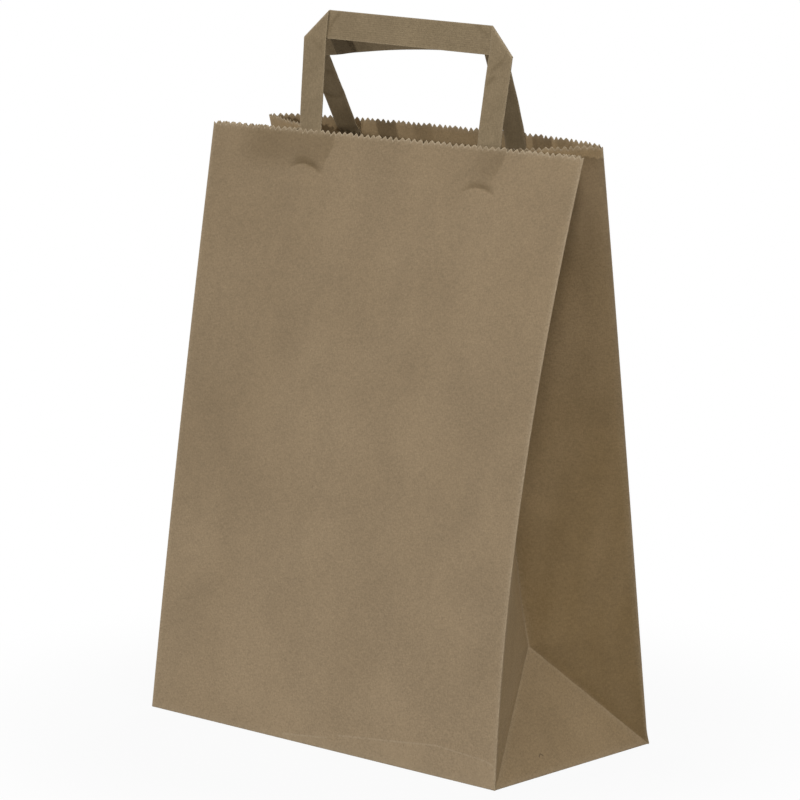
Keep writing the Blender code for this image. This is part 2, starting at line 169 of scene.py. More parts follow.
@dataclass(frozen=True)
class BagShape:
    """Sizes of the folded bag and the surface that they give.

    They are the same as the solids', apart from the gussets' sag at the mouth and the small flare of the
    rear panel's right corner at the foot, which the solids don't have.
    """

    width: float = 0.254
    depth: float = 0.127
    panel_length: float = 0.330
    ply: float = 0.0003
    foot_level: float = 0.0006
    edge_fold: float = 0.00072
    crease_fold: float = 0.0004
    apex_drop: float = 0.0028
    apex_drop_fade: float = 0.060
    rear_bow: float = 0.2993
    corner_flare: float = 0.0012
    flare_height: float = 0.007
    flare_width: float = 0.014
    mouth_sag: float = 0.0035
    front_left: Draw = Draw(0.7075, 0.8163, 0.8889)
    front_right: Draw = Draw(0.2086, 1.0884, 1.7143)
    rear_left: Draw = Draw(0.0, 0.3809, 1.4512)
    rear_right: Draw = Draw(0.7075, 0.7075, 0.7710)

    @property
    def half_width(self) -> float:
        """Half the bag's width."""
        return self.width / 2

    @property
    def half_depth(self) -> float:
        """Half the bag's depth, which is also the width of a gusset half."""
        return self.depth / 2

    def run_and_rise(self, foot: Array, middle: Array, rim: Array, height: Array) -> tuple[Array, Array]:
        """How far a line drawn up the panel runs inwards and rises, by Simpson's rule.

        Args:
            foot: Draw at the foot, at each place.
            middle: Draw half-way up.
            rim: Draw at the rim.
            height: Length along the paper from the foot.

        Returns:
            The run inwards and the rise.
        """
        steps = 12
        bend = 2 * (foot + rim - 2 * middle)
        run, rise = 0.0, 0.0
        for i in range(steps + 1):
            weight = 1 if i in (0, steps) else 4 if i % 2 else 2
            share = height * i / steps / self.panel_length
            angle = foot + (rim - foot - bend) * share + bend * share * share
            angle = angle * self.half_depth / self.panel_length
            run = run + weight * np.sin(angle)
            rise = rise + weight * np.cos(angle)
        third = height / steps / 3
        return run * third, rise * third

    def panel(self, side: Side, x: Array, height: Array) -> Array:
        """Points on the outer face of the front or rear panel.

        Args:
            side: The panel.
            x: Places across it.
            height: Heights along the paper.

        Returns:
            Points, with their coordinates last.
        """
        x, height = np.broadcast_arrays(np.asarray(x, float), np.asarray(height, float))
        left, right = self.front_left, self.front_right
        if side is Side.REAR:
            left, right = self.rear_left, self.rear_right
        across = (x + self.half_width) / self.width
        foot = left.foot + (right.foot - left.foot) * across
        middle = left.middle + (right.middle - left.middle) * across
        rim = left.rim + (right.rim - left.rim) * across
        if side is Side.REAR:
            bow = self.rear_bow * (1 - (x / self.half_width) ** 4)
            middle = middle - bow / 2
            rim = rim - bow
        run, rise = self.run_and_rise(foot, middle, rim, height)
        if side is Side.REAR:
            near_foot = 1 - ease(height / self.flare_height)
            near_corner = ease((x - self.half_width + self.flare_width) / self.flare_width)
            run = run - self.corner_flare * near_foot * near_corner
        return np.stack([x, side.value * (self.half_depth - run), self.foot_level + rise], axis=-1)

    def gusset_edge(self, hand: Hand, side: Side, height: Array) -> Array:
        """Where a gusset half leaves the pressed edge that it shares with its panel."""
        points = self.panel(side, hand.value * self.half_width, height)
        return points - np.array([0.0, side.value * self.edge_fold, 0.0])

    def gusset_crease(self, hand: Hand, side: Side, height: Array) -> Array:
        """Points on the centre crease. Below half the depth they lie on the 45 degree crease instead."""
        on_crease = np.maximum(height, self.half_depth)
        front = self.gusset_edge(hand, Side.FRONT, on_crease)
        rear = self.gusset_edge(hand, Side.REAR, on_crease)
        half_gap = (rear[..., 1] - front[..., 1]) / 2
        reach = np.sqrt(np.maximum(self.half_depth**2 - half_gap**2, 0.0))
        drop = self.apex_drop * (1 - ease((on_crease - self.half_depth) / self.apex_drop_fade))
        crease = (front + rear) / 2
        crease[..., 0] -= hand.value * reach
        crease[..., 1] += side.value * self.crease_fold / 2
        crease[..., 2] -= drop + self.mouth_sag * ease((on_crease / self.panel_length - 0.55) / 0.45)
        share = np.minimum(height / self.half_depth, 1.0)[..., None]
        foot = self.gusset_edge(hand, side, np.zeros_like(height))
        return np.where(share < 1.0, foot + (crease - foot) * share, crease)

    def gusset_half(self, hand: Hand, side: Side, across: Array, height: Array) -> Array:
        """Points on a gusset half: across is 0 at the panel's edge and 1 at the crease."""
        across, height = np.broadcast_arrays(across, height)
        edge = self.gusset_edge(hand, side, height)
        return edge + (self.gusset_crease(hand, side, height) - edge) * across[..., None]


@dataclass(frozen=True)
class Zigzag:
    """The zigzag cut along the mouth, made while the bag lies flat."""

    pitch: float = 0.004
    depth: float = 0.0017
    band: float = 0.006
    straight: float = 0.55
    rounded: float = 0.45
    unevenness: float = 0.38
    stray: float = 0.06
    stand: float = 0.0009

    def cut(self, flat_x: Array) -> Array:
        """How far the cut lies below the rim's middle line, at each flat place across the bag."""
        phase = (flat_x / self.pitch) % 1.0
        ramp = 1 - np.abs(2 * phase - 1)
        curve = 0.5 - 0.5 * np.sin(math.pi * (0.5 - ramp))
        shape = self.straight * ramp + self.rounded * curve
        number = np.floor(flat_x / self.pitch + 0.5)
        change = np.sin(number * 2.4) * np.cos(number * 5.1 + 1.0)
        return self.depth * (shape * (1 + self.unevenness * change) + self.stray * change) - self.stand


# Marks that the sheet carries: telegraphed legs and patch, dents, soft unevenness, and painted light and
# shade


@dataclass(frozen=True)
class Dent:
    """An arched dent where the glue holds a leg: a soft hollow with painted shade above a crisp line, and a
    swell below.

    Args:
        line: Corners of its line, across the panel and below the rim.
        hollow: How deep the paper falls in just above the line.
        swell: How far it stands out below it.
        reach: How far the hollow spreads above the line.
        lower_reach: How far the swell spreads below the line.
        step: Over what height the paper steps from hollow to swell.
        shade_reach: Reach of the painted shade, as a share of the hollow's.
    """

    line: Line
    hollow: float = 0.0008
    swell: float = 0.00035
    reach: float = 0.0042
    lower_reach: float = 0.0105
    step: float = 0.0011
    shade_reach: float = 0.95

    def under(self, x: Array, below: Array) -> tuple[Array, Array]:
        """How far each place lies below the line, and how strongly the dent works there."""
        xs = np.array([point[0] for point in self.line])
        levels = np.array([point[1] for point in self.line])
        smooth = np.polyval(np.polyfit(xs, levels, 3), np.clip(x, xs[0], xs[-1]))
        middle, half = (xs[0] + xs[-1]) / 2, (xs[-1] - xs[0]) / 2
        window = ease(1.25 * (1.15 - np.abs(x - middle) / half))
        return below - smooth, window

    def relief(self, x: Array, below: Array) -> Array:
        """Outward offset at each place."""
        under, window = self.under(x, below)
        above_line = np.maximum(-under, 0.0) / self.reach
        below_line = np.maximum(under, 0.0) / self.lower_reach
        hollow = -self.hollow * np.exp(-(above_line**1.3) * 1.6)
        swell = self.swell * (below_line * np.exp(1 - below_line))
        step = ease(under / self.step)
        return window * (hollow * (1 - step) + swell * step)

    def shade(self, x: Array, below: Array) -> Array:
        """Painted shade in the hollow above the line, stronger towards the dent's right end."""
        under, window = self.under(x, below)
        above_line = np.maximum(-under, 0.0) / (self.shade_reach * self.reach)
        rightward = 0.8 + 0.4 * ease((x - self.line[0][0]) / (self.line[-1][0] - self.line[0][0]))
        return -window * rightward * np.exp(-(above_line**3)) * (1 - ease((under + 0.0003) / 0.0012))


@dataclass(frozen=True)
class PanelMarks:
    """What shows on one wide panel: its relief and its patches of tone, painted light and shade among them,
    on flat places.

    Args:
        shape: The folded bag.
        legs: Middle of each handle leg across the panel.
        dents: Its arched dents.
        folds: Its short creases, across the panel and below the rim.
        painted_shade_patches: Its patches of painted shade: left and right end, depth below the rim and
            strength.
        left_painted_light: Painted light at the left edge, below 0 for painted shade.
        rim_painted_light: Painted light at the rim, below 0 for painted shade.
        foot_painted_light: Painted light at the foot, below 0 for painted shade.
    """

    shape: BagShape
    legs: tuple[float, float]
    dents: tuple[Dent, ...] = ()
    folds: tuple[Line, ...] = ()
    painted_shade_patches: tuple[tuple[float, float, float, float], ...] = ()
    left_painted_light: float = 0.0
    rim_painted_light: float = 0.0
    foot_painted_light: float = 0.0
    sway: float = 0.0005
    seed: int = 3
    leg_width: float = 0.0165
    leg_length: float = 0.056
    patch_below: tuple[float, float] = (0.022, 0.067)
    patch_past: float = 0.022
    leg_relief: float = 0.00016
    patch_relief: float = 0.00010
    patch_soft: float = 0.003
    fold_relief: float = 0.00022
    dent_painted_shade: float = 2.5
    fold_painted_shade: float = 0.45
    shade_patch_lean: float = 0.0045
    shade_patch_rise: float = 0.028
    shade_patch_edge: float = 0.0011
    shade_patch_fade: float = 0.014

    def relief(self, x: Array, height: Array) -> Array:
        """Outward offset of the panel at each flat place.

        Args:
            x: Places across the panel.
            height: Heights along the paper.

        Returns:
            The offset in metres.
        """
        x, height = np.broadcast_arrays(x, height)
        below = self.shape.panel_length - height
        calm = ease((self.shape.half_width - np.abs(x)) / 0.016) * ease(height / 0.018)
        out = self.sway * SoftNoise(self.seed, 0.085)(x, height)
        out = out + 0.3 * self.sway * SoftNoise(self.seed + 1, 0.028)(x, height)
        for leg in self.legs:
            over = plateau(x, leg - self.leg_width / 2, leg + self.leg_width / 2, 0.0045)
            out = out + self.leg_relief * over * plateau(below, 0.004, self.leg_length, 0.006)
        low, high = min(self.legs) - self.patch_past, max(self.legs) + self.patch_past
        over = plateau(x, low, high, self.patch_soft)
        out = out + self.patch_relief * over * plateau(below, *self.patch_below, self.patch_soft)
        for dent in self.dents:
            out = out + dent.relief(x, below)
        for fold in self.folds:
            out = out - self.fold_relief * hump(line_distance(x, below, fold), 0.0011)
        return out * calm

    def tone(self, x: Array, height: Array) -> Array:
        """Lighter (above 0) or darker (below 0) paper at each flat place, painted light and shade included.
        """
        x, height = np.broadcast_arrays(x, height)
        below = self.shape.panel_length - height
        out = 0.30 * SoftNoise(self.seed + 5, 0.11)(x, height)
        out = out + 0.22 * SoftNoise(self.seed + 6, 0.035)(x, height)
        # Painted light and shade that grade towards the left edge, the rim and the foot.
        out = out + self.left_painted_light * (1 - ease((x + self.shape.half_width) / 0.11))
        share = height / self.shape.panel_length
        out = out + self.rim_painted_light * ease(2 * share - 1) + self.foot_painted_light * (1 - ease(2 * share))
        # Patches of painted shade, each with a soft left side and a crisp right side.
        for left, right, depth, strength in self.painted_shade_patches:
            edge = right - self.shade_patch_lean * ease((below - 0.006) / 0.012)
            side = ease((x - left) / self.shade_patch_rise) * (1 - ease((x - edge) / self.shade_patch_edge + 0.5))
            out = out - strength * side * (1 - ease((below - depth) / self.shade_patch_fade))
        # Painted shade in the dents.
        for dent in self.dents:
            out = out + self.dent_painted_shade * dent.shade(x, below)
        # Painted shade along the short creases.
        for fold in self.folds:
            out = out - self.fold_painted_shade * hump(line_distance(x, below, fold), 0.0009)
        return out


# Meshes


class SheetMesh:
    """Collects the grids that make up one folded sheet and joins them where they meet."""

    def __init__(self, name: str) -> None:
        """Start an empty sheet.

        Args:
            name: Name of the object that it becomes.
        """
        self.name = name
        self.points: list[Array] = []
        self.flat: list[Array] = []
        self.wear: list[Array] = []
        self.tone: list[Array] = []
        self.warm: list[Array] = []
        self.faces: list[tuple[int, ...]] = []
        self.count = 0

    def add_grid(
        self, points: Array, flat: Array, wear: Array, tone: Array, flip: bool = False, warm: float = 0.0
    ) -> Array:
        """Add a grid of points and the faces between them.

        Args:
            points: Rows of points, with their coordinates last.
            flat: Their places on the flat sheet.
            wear: Their wear from 0 to 1.
            tone: Their lightness, above or below 0.
            flip: Whether the faces are turned round.
            warm: Strength of the brown tint painted in for shade, from 0 to 1.

        Returns:
            The index of each point.
        """
        shape = points.shape[:-1]
        size = int(np.prod(shape))
        index = np.arange(size).reshape(shape) + self.count
        self.count += size
        self.points.append(points.reshape(-1, 3))
        self.flat.append(np.broadcast_to(flat, (*shape, 2)).reshape(-1, 2))
        for values, value in ((self.wear, wear), (self.tone, tone), (self.warm, warm)):
            values.append(np.broadcast_to(value, shape).reshape(-1))
        quads = np.stack([index[:-1, :-1], index[:-1, 1:], index[1:, 1:], index[1:, :-1]], -1)
        quads = quads.reshape(-1, 4)
        if flip:
            quads = quads[:, ::-1]
        self.faces.extend(map(tuple, quads.tolist()))
        return index

    def stitch(self, low: Array, high: Array, low_share: Array, high_share: Array) -> None:
        """Fill the strip between two rows of points with triangles.

        Args:
            low: Indices of the lower row.
            high: Indices of the upper row.
            low_share: How far along its row each lower point lies.
            high_share: The same for the upper row.
        """
        i = j = 0
        while i < len(low) - 1 or j < len(high) - 1:
            use_low = j == len(high) - 1
            if not use_low and i < len(low) - 1:
                use_low = low_share[i + 1] <= high_share[j + 1] + 1e-9
            if use_low:
                self.faces.append((int(low[i]), int(low[i + 1]), int(high[j])))
                i += 1
            else:
                self.faces.append((int(low[i]), int(high[j + 1]), int(high[j])))
                j += 1

    def build(self) -> bpy.types.Object:
        """Make the object, with a UV map of the flat sheet in metres, and merge what coincides.

        Returns:
            The new object.
        """
        points = np.concatenate(self.points)
        flat = np.concatenate(self.flat)
        mesh = bpy.data.meshes.new(self.name)
        mesh.from_pydata(points.tolist(), [], self.faces)
        corners = np.empty(len(mesh.loops), np.int32)
        mesh.loops.foreach_get("vertex_index", corners)
        layer = mesh.uv_layers.new(name="flat_sheet")
        layer.data.foreach_set("uv", flat[corners].astype(np.float32).ravel())
        for name, values in (("wear", self.wear), ("tone", self.tone), ("warm", self.warm)):
            attribute = mesh.attributes.new(name, "FLOAT", "POINT")
            attribute.data.foreach_set("value", np.concatenate(values).astype(np.float32))
        obj = bpy.data.objects.new(self.name, mesh)
        bpy.context.scene.collection.objects.link(obj)
        select_only(obj)
        bpy.ops.object.mode_set(mode="EDIT")
        bpy.ops.mesh.select_all(action="SELECT")
        bpy.ops.mesh.remove_doubles(threshold=SAME_PLACE)
        bpy.ops.mesh.select_all(action="SELECT")
        bpy.ops.mesh.dissolve_degenerate(threshold=1e-6)
        bpy.ops.object.mode_set(mode="OBJECT")
        return obj


def select_only(obj: bpy.types.Object) -> None:
    """Deselect everything and make this object the active one."""
    if bpy.context.mode != "OBJECT":
        bpy.ops.object.mode_set(mode="OBJECT")
    bpy.ops.object.select_all(action="DESELECT")
    obj.select_set(True)
    bpy.context.view_layer.objects.active = obj


def thicken(obj: bpy.types.Object, thickness: float, offset: float, edge: float = 0.0) -> None:
    """Give a sheet its thickness and, if asked, rounded edges, and apply both.

    Args:
        obj: The sheet.
        thickness: Its thickness.
        offset: -1 to grow inwards from its faces, 0 to both sides.
        edge: Width of the rounding of its cut edges.
    """
    select_only(obj)
    solid = obj.modifiers.new("thickness", "SOLIDIFY")
    solid.thickness = thickness
    solid.offset = offset
    bpy.ops.object.modifier_apply(modifier=solid.name)
    if edge > 0.0:
        bevel = obj.modifiers.new("edges", "BEVEL")
        bevel.width = edge
        bevel.segments = 2
        bevel.limit_method = "ANGLE"
        bevel.angle_limit = math.radians(60)
        bpy.ops.object.modifier_apply(modifier=bevel.name)


def read_values(source: bpy.types.bpy_prop_collection, key: str, size: int = 1) -> Array:
    """One number, or a row of a few, of each item of a mesh's collection."""
    values = np.empty(len(source) * size, np.float32)
    source.foreach_get(key, values)
    return values.reshape(-1, size) if size > 1 else values


def paint_light_through_inside(obj: bpy.types.Object, outer: int, warm: float, lift: float) -> None:
    """Paint light through the paper onto the inner face of a thickened sheet, as a browner and paler colour.

    Args:
        obj: The sheet.
        outer: How many of its first points are on its outer face.
        warm: How brown the painted light makes the inner face.
        lift: How much paler the painted light makes it.
    """
    for name, old_share, change in (("warm", 0.0, warm), ("tone", 1.0, lift)):
        data = obj.data.attributes[name].data
        values = read_values(data, "value")
        values[outer:] = values[outer:] * old_share + change
        data.foreach_set("value", values)


def smooth_faces(obj: bpy.types.Object, angle: float = 40.0) -> None:
    """Shade smooth, with edges sharper than this angle left sharp."""
    select_only(obj)
    bpy.ops.object.shade_smooth_by_angle(angle=math.radians(angle))


def surface_normals(points: Array) -> Array:
    """Unit normals of a grid of points, from the differences between its rows and columns."""
    across = np.gradient(points, axis=1)
    up = np.gradient(points, axis=0)
    normal = np.cross(across, up)
    length = np.linalg.norm(normal, axis=-1, keepdims=True)
    return normal / np.maximum(length, 1e-12)


# The bag's sheet


@dataclass(frozen=True)
class Stretch:
    """One stretch of the sheet between two folds.

    Args:
        surface: Points at flat places across and heights.
        places: Flat places of its columns below the zigzag band.
        rim_places: Flat places of its columns in that band.
        flat: Place on the whole flat sheet, for the UV map.
        wear: Wear at flat places and heights.
        tone: Tone at flat places and heights.
        cut_at: Flat place across the folded bag, for the zigzag cut.
        relief: Offset along the surface's normal.
        warm: Strength of the brown tint painted in for shade.
    """

    surface: Field
    places: Array
    rim_places: Array
    flat: Field
    wear: Field
    tone: Field
    cut_at: Callable[[Array], Array] = np.asarray
    relief: Field = nothing
    warm: float = 0.0


@dataclass
class BagSheet:
    """The folded sheet: panels, gussets, pressed folds, glued tube seam and foot."""

    shape: BagShape = field(default_factory=BagShape)
    zigzag: Zigzag = field(default_factory=Zigzag)
    marks: dict[Side, PanelMarks] = field(default_factory=dict)
    thickness: float = 0.0002
    fine_rows: tuple[float, float] = (0.0285, 0.0135)
    fine_columns: tuple[tuple[float, float], ...] = ((-0.0740, -0.0390), (0.0470, 0.0815))
    plain_pitch: float = 0.004
    body_pitch: float = 0.0062
    fine_pitch: float = 0.0006
    upper_pitch: float = 0.0015
    front_pitch: float = 0.0030
    dent_pitch: float = 0.0008
    seam_pitch: float = 0.003
    margin: float = 0.0008
    seam_from_edge: float = 0.022
    seam_overlap: float = 0.015
    seam_lift: float = 0.00024
    fold_segments: int = 6
    gusset_painted_light: float = -0.75
    gusset_painted_rise: float = 3.8
    gusset_painted_foot: float = -1.3
    gusset_front_painted_foot: float = 0.6
    gusset_painted_levels: tuple[float, float, float, float] = (0.1, 0.25, 0.5, 1.0)
    gusset_painted_rim_shade: float = 1.8
    gusset_painted_glow: float = 1.9
    cut_wear: float = 2.3
    foot_radius: float = 0.0003
    rear_number: int = 6

    def columns(self, start: float, end: float, pitch: float) -> Array:
        """Even places from start to end, with one close to each end to keep folds crisp."""
        count = max(round(abs(end - start) / pitch), 1)
        inner = np.linspace(start, end, count + 1)
        way = math.copysign(self.margin, end - start)
        return np.array([inner[0], inner[0] + way, *inner[1:-1], inner[-1] - way, inner[-1]])

    def rear_columns(self, start: float, seam: float, end: float) -> Array:
        """Places of the rear panel's inner ply, with one where the seam's outer ply begins."""
        plain = self.columns(start, seam, self.plain_pitch)
        return np.concatenate([plain, self.columns(seam, end, self.seam_pitch)[1:]])

    def rim_columns(self, start: float, end: float) -> Array:
        """Places eight to a tooth for the zigzag band."""
        step = self.zigzag.pitch / 8
        low, high = sorted((start, end))
        inner = np.arange(math.floor(low / step) + 1, math.ceil(high / step)) * step
        inner = inner[(inner > low + step / 4) & (inner < high - step / 4)]
        places = np.array([low, *inner, high])
        return places if start < end else places[::-1]

    def heights(self) -> Array:
        """Heights of the body's rows: to the gusset's apex, up the body, and closer below the rim."""
        half = self.shape.half_depth
        top = self.shape.panel_length - self.zigzag.band
        low, high = (self.shape.panel_length - level for level in self.fine_rows)
        rows = [self.columns(0.0, half, self.plain_pitch)]
        spans = ((half, low, self.body_pitch), (low, high, self.fine_pitch), (high, top, self.upper_pitch))
        for start, end, pitch in spans:
            rows.append(np.linspace(start, end, round((end - start) / pitch) + 1)[1:])
        return np.concatenate(rows)

    def front_columns(self) -> Array:
        """Places across the front panel, closer together where the dents are."""
        half = self.shape.half_width
        stops = [-half, *(stop for span in self.fine_columns for stop in span), half]
        places = [np.array([-half, self.margin - half])]
        for number, (start, end) in enumerate(zip(stops, stops[1:])):
            pitch = self.dent_pitch if number % 2 else self.front_pitch
            places.append(np.linspace(start, end, round((end - start) / pitch) + 1)[1:])
        row = np.concatenate(places)
        return np.concatenate([row[:-1], [half - self.margin, half]])

    def fold_wear(self, distance: Array) -> Array:
        """Wear close to a fold."""
        return 0.9 * hump(distance, 0.0007) + 0.12 * hump(distance, 0.0025)

    def rim_wear(self, height: Array) -> Array:
        """Wear close to the cut rim."""
        return 0.9 * hump(self.shape.panel_length - height, 0.0013)

    def panel_surface(self, side: Side, x: Array, height: Array) -> Array:
        """The panel with the relief of its marks."""
        points = self.shape.panel(side, x, height)
        points[..., 1] += side.value * self.marks[side].relief(x, height)
        return points

    def panel_wear(self, x: Array, height: Array) -> Array:
        """Wear of a panel: its pressed edges, its foot and its rim."""
        side_wear = self.fold_wear(self.shape.half_width - np.abs(x))
        return np.maximum(side_wear, np.maximum(0.8 * self.fold_wear(height), self.rim_wear(height)))

    def front_panel(self) -> Stretch:
        """The front panel, left to right."""
        half = self.shape.half_width
        return Stretch(
            surface=lambda x, h: self.panel_surface(Side.FRONT, x, h),
            places=self.front_columns(),
            rim_places=self.rim_columns(-half, half),
            flat=pair,
            wear=self.panel_wear,
            tone=lambda x, h: self.marks[Side.FRONT].tone(x, h) + self.foot_strip(x, h),
        )

    def foot_strip(self, x: Array, height: Array) -> Array:
        """The lighter strip under the low crease along the front panel's foot, and the crease itself."""
        level = np.interp(x, *zip(*FOOT_CREASE))
        strip = ease((level - height) / 0.0016) * ease((x + 0.05) / 0.05)
        line = hump(line_distance(x, height, FOOT_CREASE) - 0.0003, 0.0008) * ease((x + 0.06) / 0.06)
        return 0.42 * strip + 0.45 * line

    def rear_panel(self) -> Stretch:
        """The rear panel's inner ply, from the right edge to under the seam."""
        half = self.shape.half_width
        end = self.seam_from_edge - self.seam_overlap - half
        start = half + self.shape.depth
        return Stretch(
            surface=lambda x, h: self.panel_surface(Side.REAR, x, h),
            places=self.rear_columns(half, self.seam_from_edge - half, end),
            rim_places=self.rim_columns(half, end),
            flat=lambda x, h: pair(start + half - x, h),
            wear=self.panel_wear,
            tone=self.marks[Side.REAR].tone,
        )

    def seam_ply(self) -> Stretch:
        """The sheet's other end, which laps over the rear panel beside the left gusset."""
        half = self.shape.half_width
        edge = self.seam_from_edge - half
        inner_edge = edge - self.seam_overlap

        def surface(x: Array, height: Array) -> Array:
            points = self.panel_surface(Side.REAR, x, height)
            points[..., 1] += self.seam_lift * ease((x - inner_edge + 0.004) / 0.003)
            return points

        def wear(x: Array, height: Array) -> Array:
            return np.maximum(self.panel_wear(x, height), 0.6 * hump(x - edge, 0.0008))

        return Stretch(
            surface=surface,
            places=self.columns(edge, -half, 0.001),
            rim_places=self.rim_columns(edge, -half),
            flat=lambda x, h: pair(-self.shape.depth - 2 * half - x, h),
            wear=wear,
            tone=self.marks[Side.REAR].tone,
        )

    def pressed_fold(self, hand: Hand, side: Side, flip: bool) -> Stretch:
        """The rounded pressed edge between a panel and its gusset half.

        Args:
            hand: The gusset's side of the bag.
            side: The panel.
            flip: Whether it runs from the gusset to the panel.

        Returns:
            The stretch.
        """
        turn = np.linspace(0, 1, self.fold_segments + 1)
        radius = self.shape.edge_fold / 2

        def surface(share: Array, height: Array) -> Array:
            share = 1 - share if flip else share
            share, height = np.broadcast_arrays(share, height)
            edge = self.shape.panel(side, hand.value * self.shape.half_width, height)
            edge[..., 1] -= side.value * radius * (1 - np.cos(share * math.pi))
            edge[..., 0] += hand.value * radius * np.sin(share * math.pi)
            return edge

        return Stretch(
            surface=surface,
            places=turn,
            rim_places=turn,
            flat=lambda s, h: pair(hand.value * self.shape.half_width + 0.0011 * s, h),
            cut_at=lambda s: np.full_like(s, self.shape.half_width),
            wear=lambda s, h: 0.85 + nothing(s, h),
            # Painted shade on the pressed folds, a fifth of the gussets', with some of their painted brown
            # tint.
            tone=lambda s, h: 0.2 * self.gusset_painted_light + nothing(s, h),
            warm=0.3,
        )

    def gusset_shade(self, height: Array, side: Side, hand: Hand) -> Array:
        """Painted light and shade of a gusset half: darker overall, paler towards the rim, darker in a strip
        right at it, and set at the foot.
        """
        share = np.asarray(height) / self.shape.panel_length
        low = self.gusset_painted_foot if side is Side.REAR else self.gusset_front_painted_foot
        rise = np.interp(share, self.gusset_painted_levels, (low, low, 0.0, self.gusset_painted_rise))
        below = self.shape.panel_length - np.asarray(height)
        # Painted light and shade: darker overall, paler towards the rim, darker in a strip just below it.
        shade = self.gusset_painted_light + rise - self.gusset_painted_rim_shade * (1 - ease((below - 0.006) / 0.008))
        if side is Side.FRONT or hand is Hand.LEFT:
            return shade
        # Painted light below the rim of the right gusset's rear half, turned to painted shade in its top few
        # millimetres.
        strip = 1 - ease((below - 0.0045) / 0.003)
        return shade + self.gusset_painted_glow * (1 - ease((below - 0.014) / 0.050)) * (1 - 1.35 * strip)

    def gusset_half(self, hand: Hand, side: Side) -> Stretch:
        """One half of a gusset. Its columns run with the sheet, so the rear half runs out to the panel."""
        half = self.shape.half_depth
        places = self.columns(0.0, half, self.plain_pitch)
        rim = self.rim_columns(0.0, half)
        outward = (side is Side.REAR) == (hand is Hand.RIGHT)
        if outward:
            places, rim = places[::-1], rim[::-1]
        noise = SoftNoise(11 + hand.value + 2 * side.value, 0.07)
        small = SoftNoise(61 + hand.value + 2 * side.value, 0.024)
        first = hand.value * self.shape.half_width

        def relief(place: Array, height: Array) -> Array:
            place, height = np.broadcast_arrays(place, height)
            across = place / half
            calm = 4 * across * (1 - across) * ease(height / 0.05)
            swell = 0.0008 * hump(np.hypot(half - place, height - half - 0.012), 0.026)
            return (0.00035 * noise(place, height) + swell) * calm

        def flat(place: Array, height: Array) -> Array:
            across = place * np.minimum(height / half, 1.0)
            across = across if side is Side.FRONT else self.shape.depth - across
            return pair(first + hand.value * across, height)

        def wear(place: Array, height: Array) -> Array:
            place, height = np.broadcast_arrays(place, height)
            across = place * np.minimum(height / half, 1.0)
            to_crease = np.minimum(height, half) - across
            folds = np.maximum(0.7 * self.fold_wear(across), 0.30 * self.fold_wear(to_crease))
            return np.maximum(folds, self.rim_wear(height))

        def tone(place: Array, height: Array) -> Array:
            shade = self.gusset_shade(height, side, hand)
            return shade + 0.55 * noise(place + 0.2, height) + 0.35 * small(place, height)

        return Stretch(
            surface=lambda p, h: self.shape.gusset_half(hand, side, p / half, h),
            places=places,
            rim_places=rim,
            flat=flat,
            cut_at=lambda p: self.shape.half_width - p,
            wear=wear,
            tone=tone,
            relief=relief,
            # The full brown tint painted in for the gussets' shade.
            warm=1.0,
        )

    def gusset_middle(self, hand: Hand) -> Stretch:
        """The triangle at the foot of a gusset, which ends in the centre crease above its apex."""
        places = np.linspace(0, 1, 17)
        places = np.array([0.0, 0.004, *places[1:-1], 0.996, 1.0])
        half = self.shape.half_depth
        noise = SoftNoise(23 + hand.value, 0.06)
        first = hand.value * self.shape.half_width
        sides = (Side.FRONT, Side.REAR) if hand is Hand.RIGHT else (Side.REAR, Side.FRONT)

        def surface(share: Array, height: Array) -> Array:
            share, height = np.broadcast_arrays(share, height)
            start = self.shape.gusset_crease(hand, sides[0], height)
            end = self.shape.gusset_crease(hand, sides[1], height)
            points = start + (end - start) * share[..., None]
            bulge = self.shape.crease_fold / 2 * ease((height - half) / 0.010)
            points[..., 0] -= hand.value * bulge * np.sin(share * math.pi)
            return points

        def flat(share: Array, height: Array) -> Array:
            low = np.minimum(height, half)
            across = low + share * (self.shape.depth - 2 * low)
            if hand is Hand.LEFT:
                across = self.shape.depth - across
            return pair(first + hand.value * across, height)

        def relief(share: Array, height: Array) -> Array:
            share, height = np.broadcast_arrays(share, height)
            inside = np.clip(height / half, 0, 1)
            calm = 16 * share * (1 - share) * inside * (1 - inside)
            return (0.0003 * noise(share * 0.1, height) - 0.0005) * np.clip(calm, 0, 1)

        def tone(share: Array, height: Array) -> Array:
            across = (share - 0.5) * (self.shape.depth - 2 * np.minimum(height, half))
            spots = 0.45 * noise(across, height) + 0.35 * SoftNoise(71 + hand.value, 0.02)(across, height)
            # Painted light on the triangle below the apex, the gussets' painted shade above it.
            return np.where(height < half, 0.35, self.gusset_painted_light) + spots

        def wear(share: Array, height: Array) -> Array:
            share, height = np.broadcast_arrays(share, height)
            width = self.shape.depth - 2 * np.minimum(height, half)
            to_side = np.minimum(share, 1 - share) * width / math.sqrt(2)
            return np.maximum(0.30 * self.fold_wear(to_side), 0.8 * self.fold_wear(height))

        return Stretch(
            surface=surface,
            places=places,
            rim_places=places,
            flat=flat,
            cut_at=lambda s: np.full_like(s, self.shape.half_width - half),
            wear=wear,
            tone=tone,
            relief=relief,
            # Brown tint painted in for shade, less than on the gusset halves.
            warm=0.6,
        )

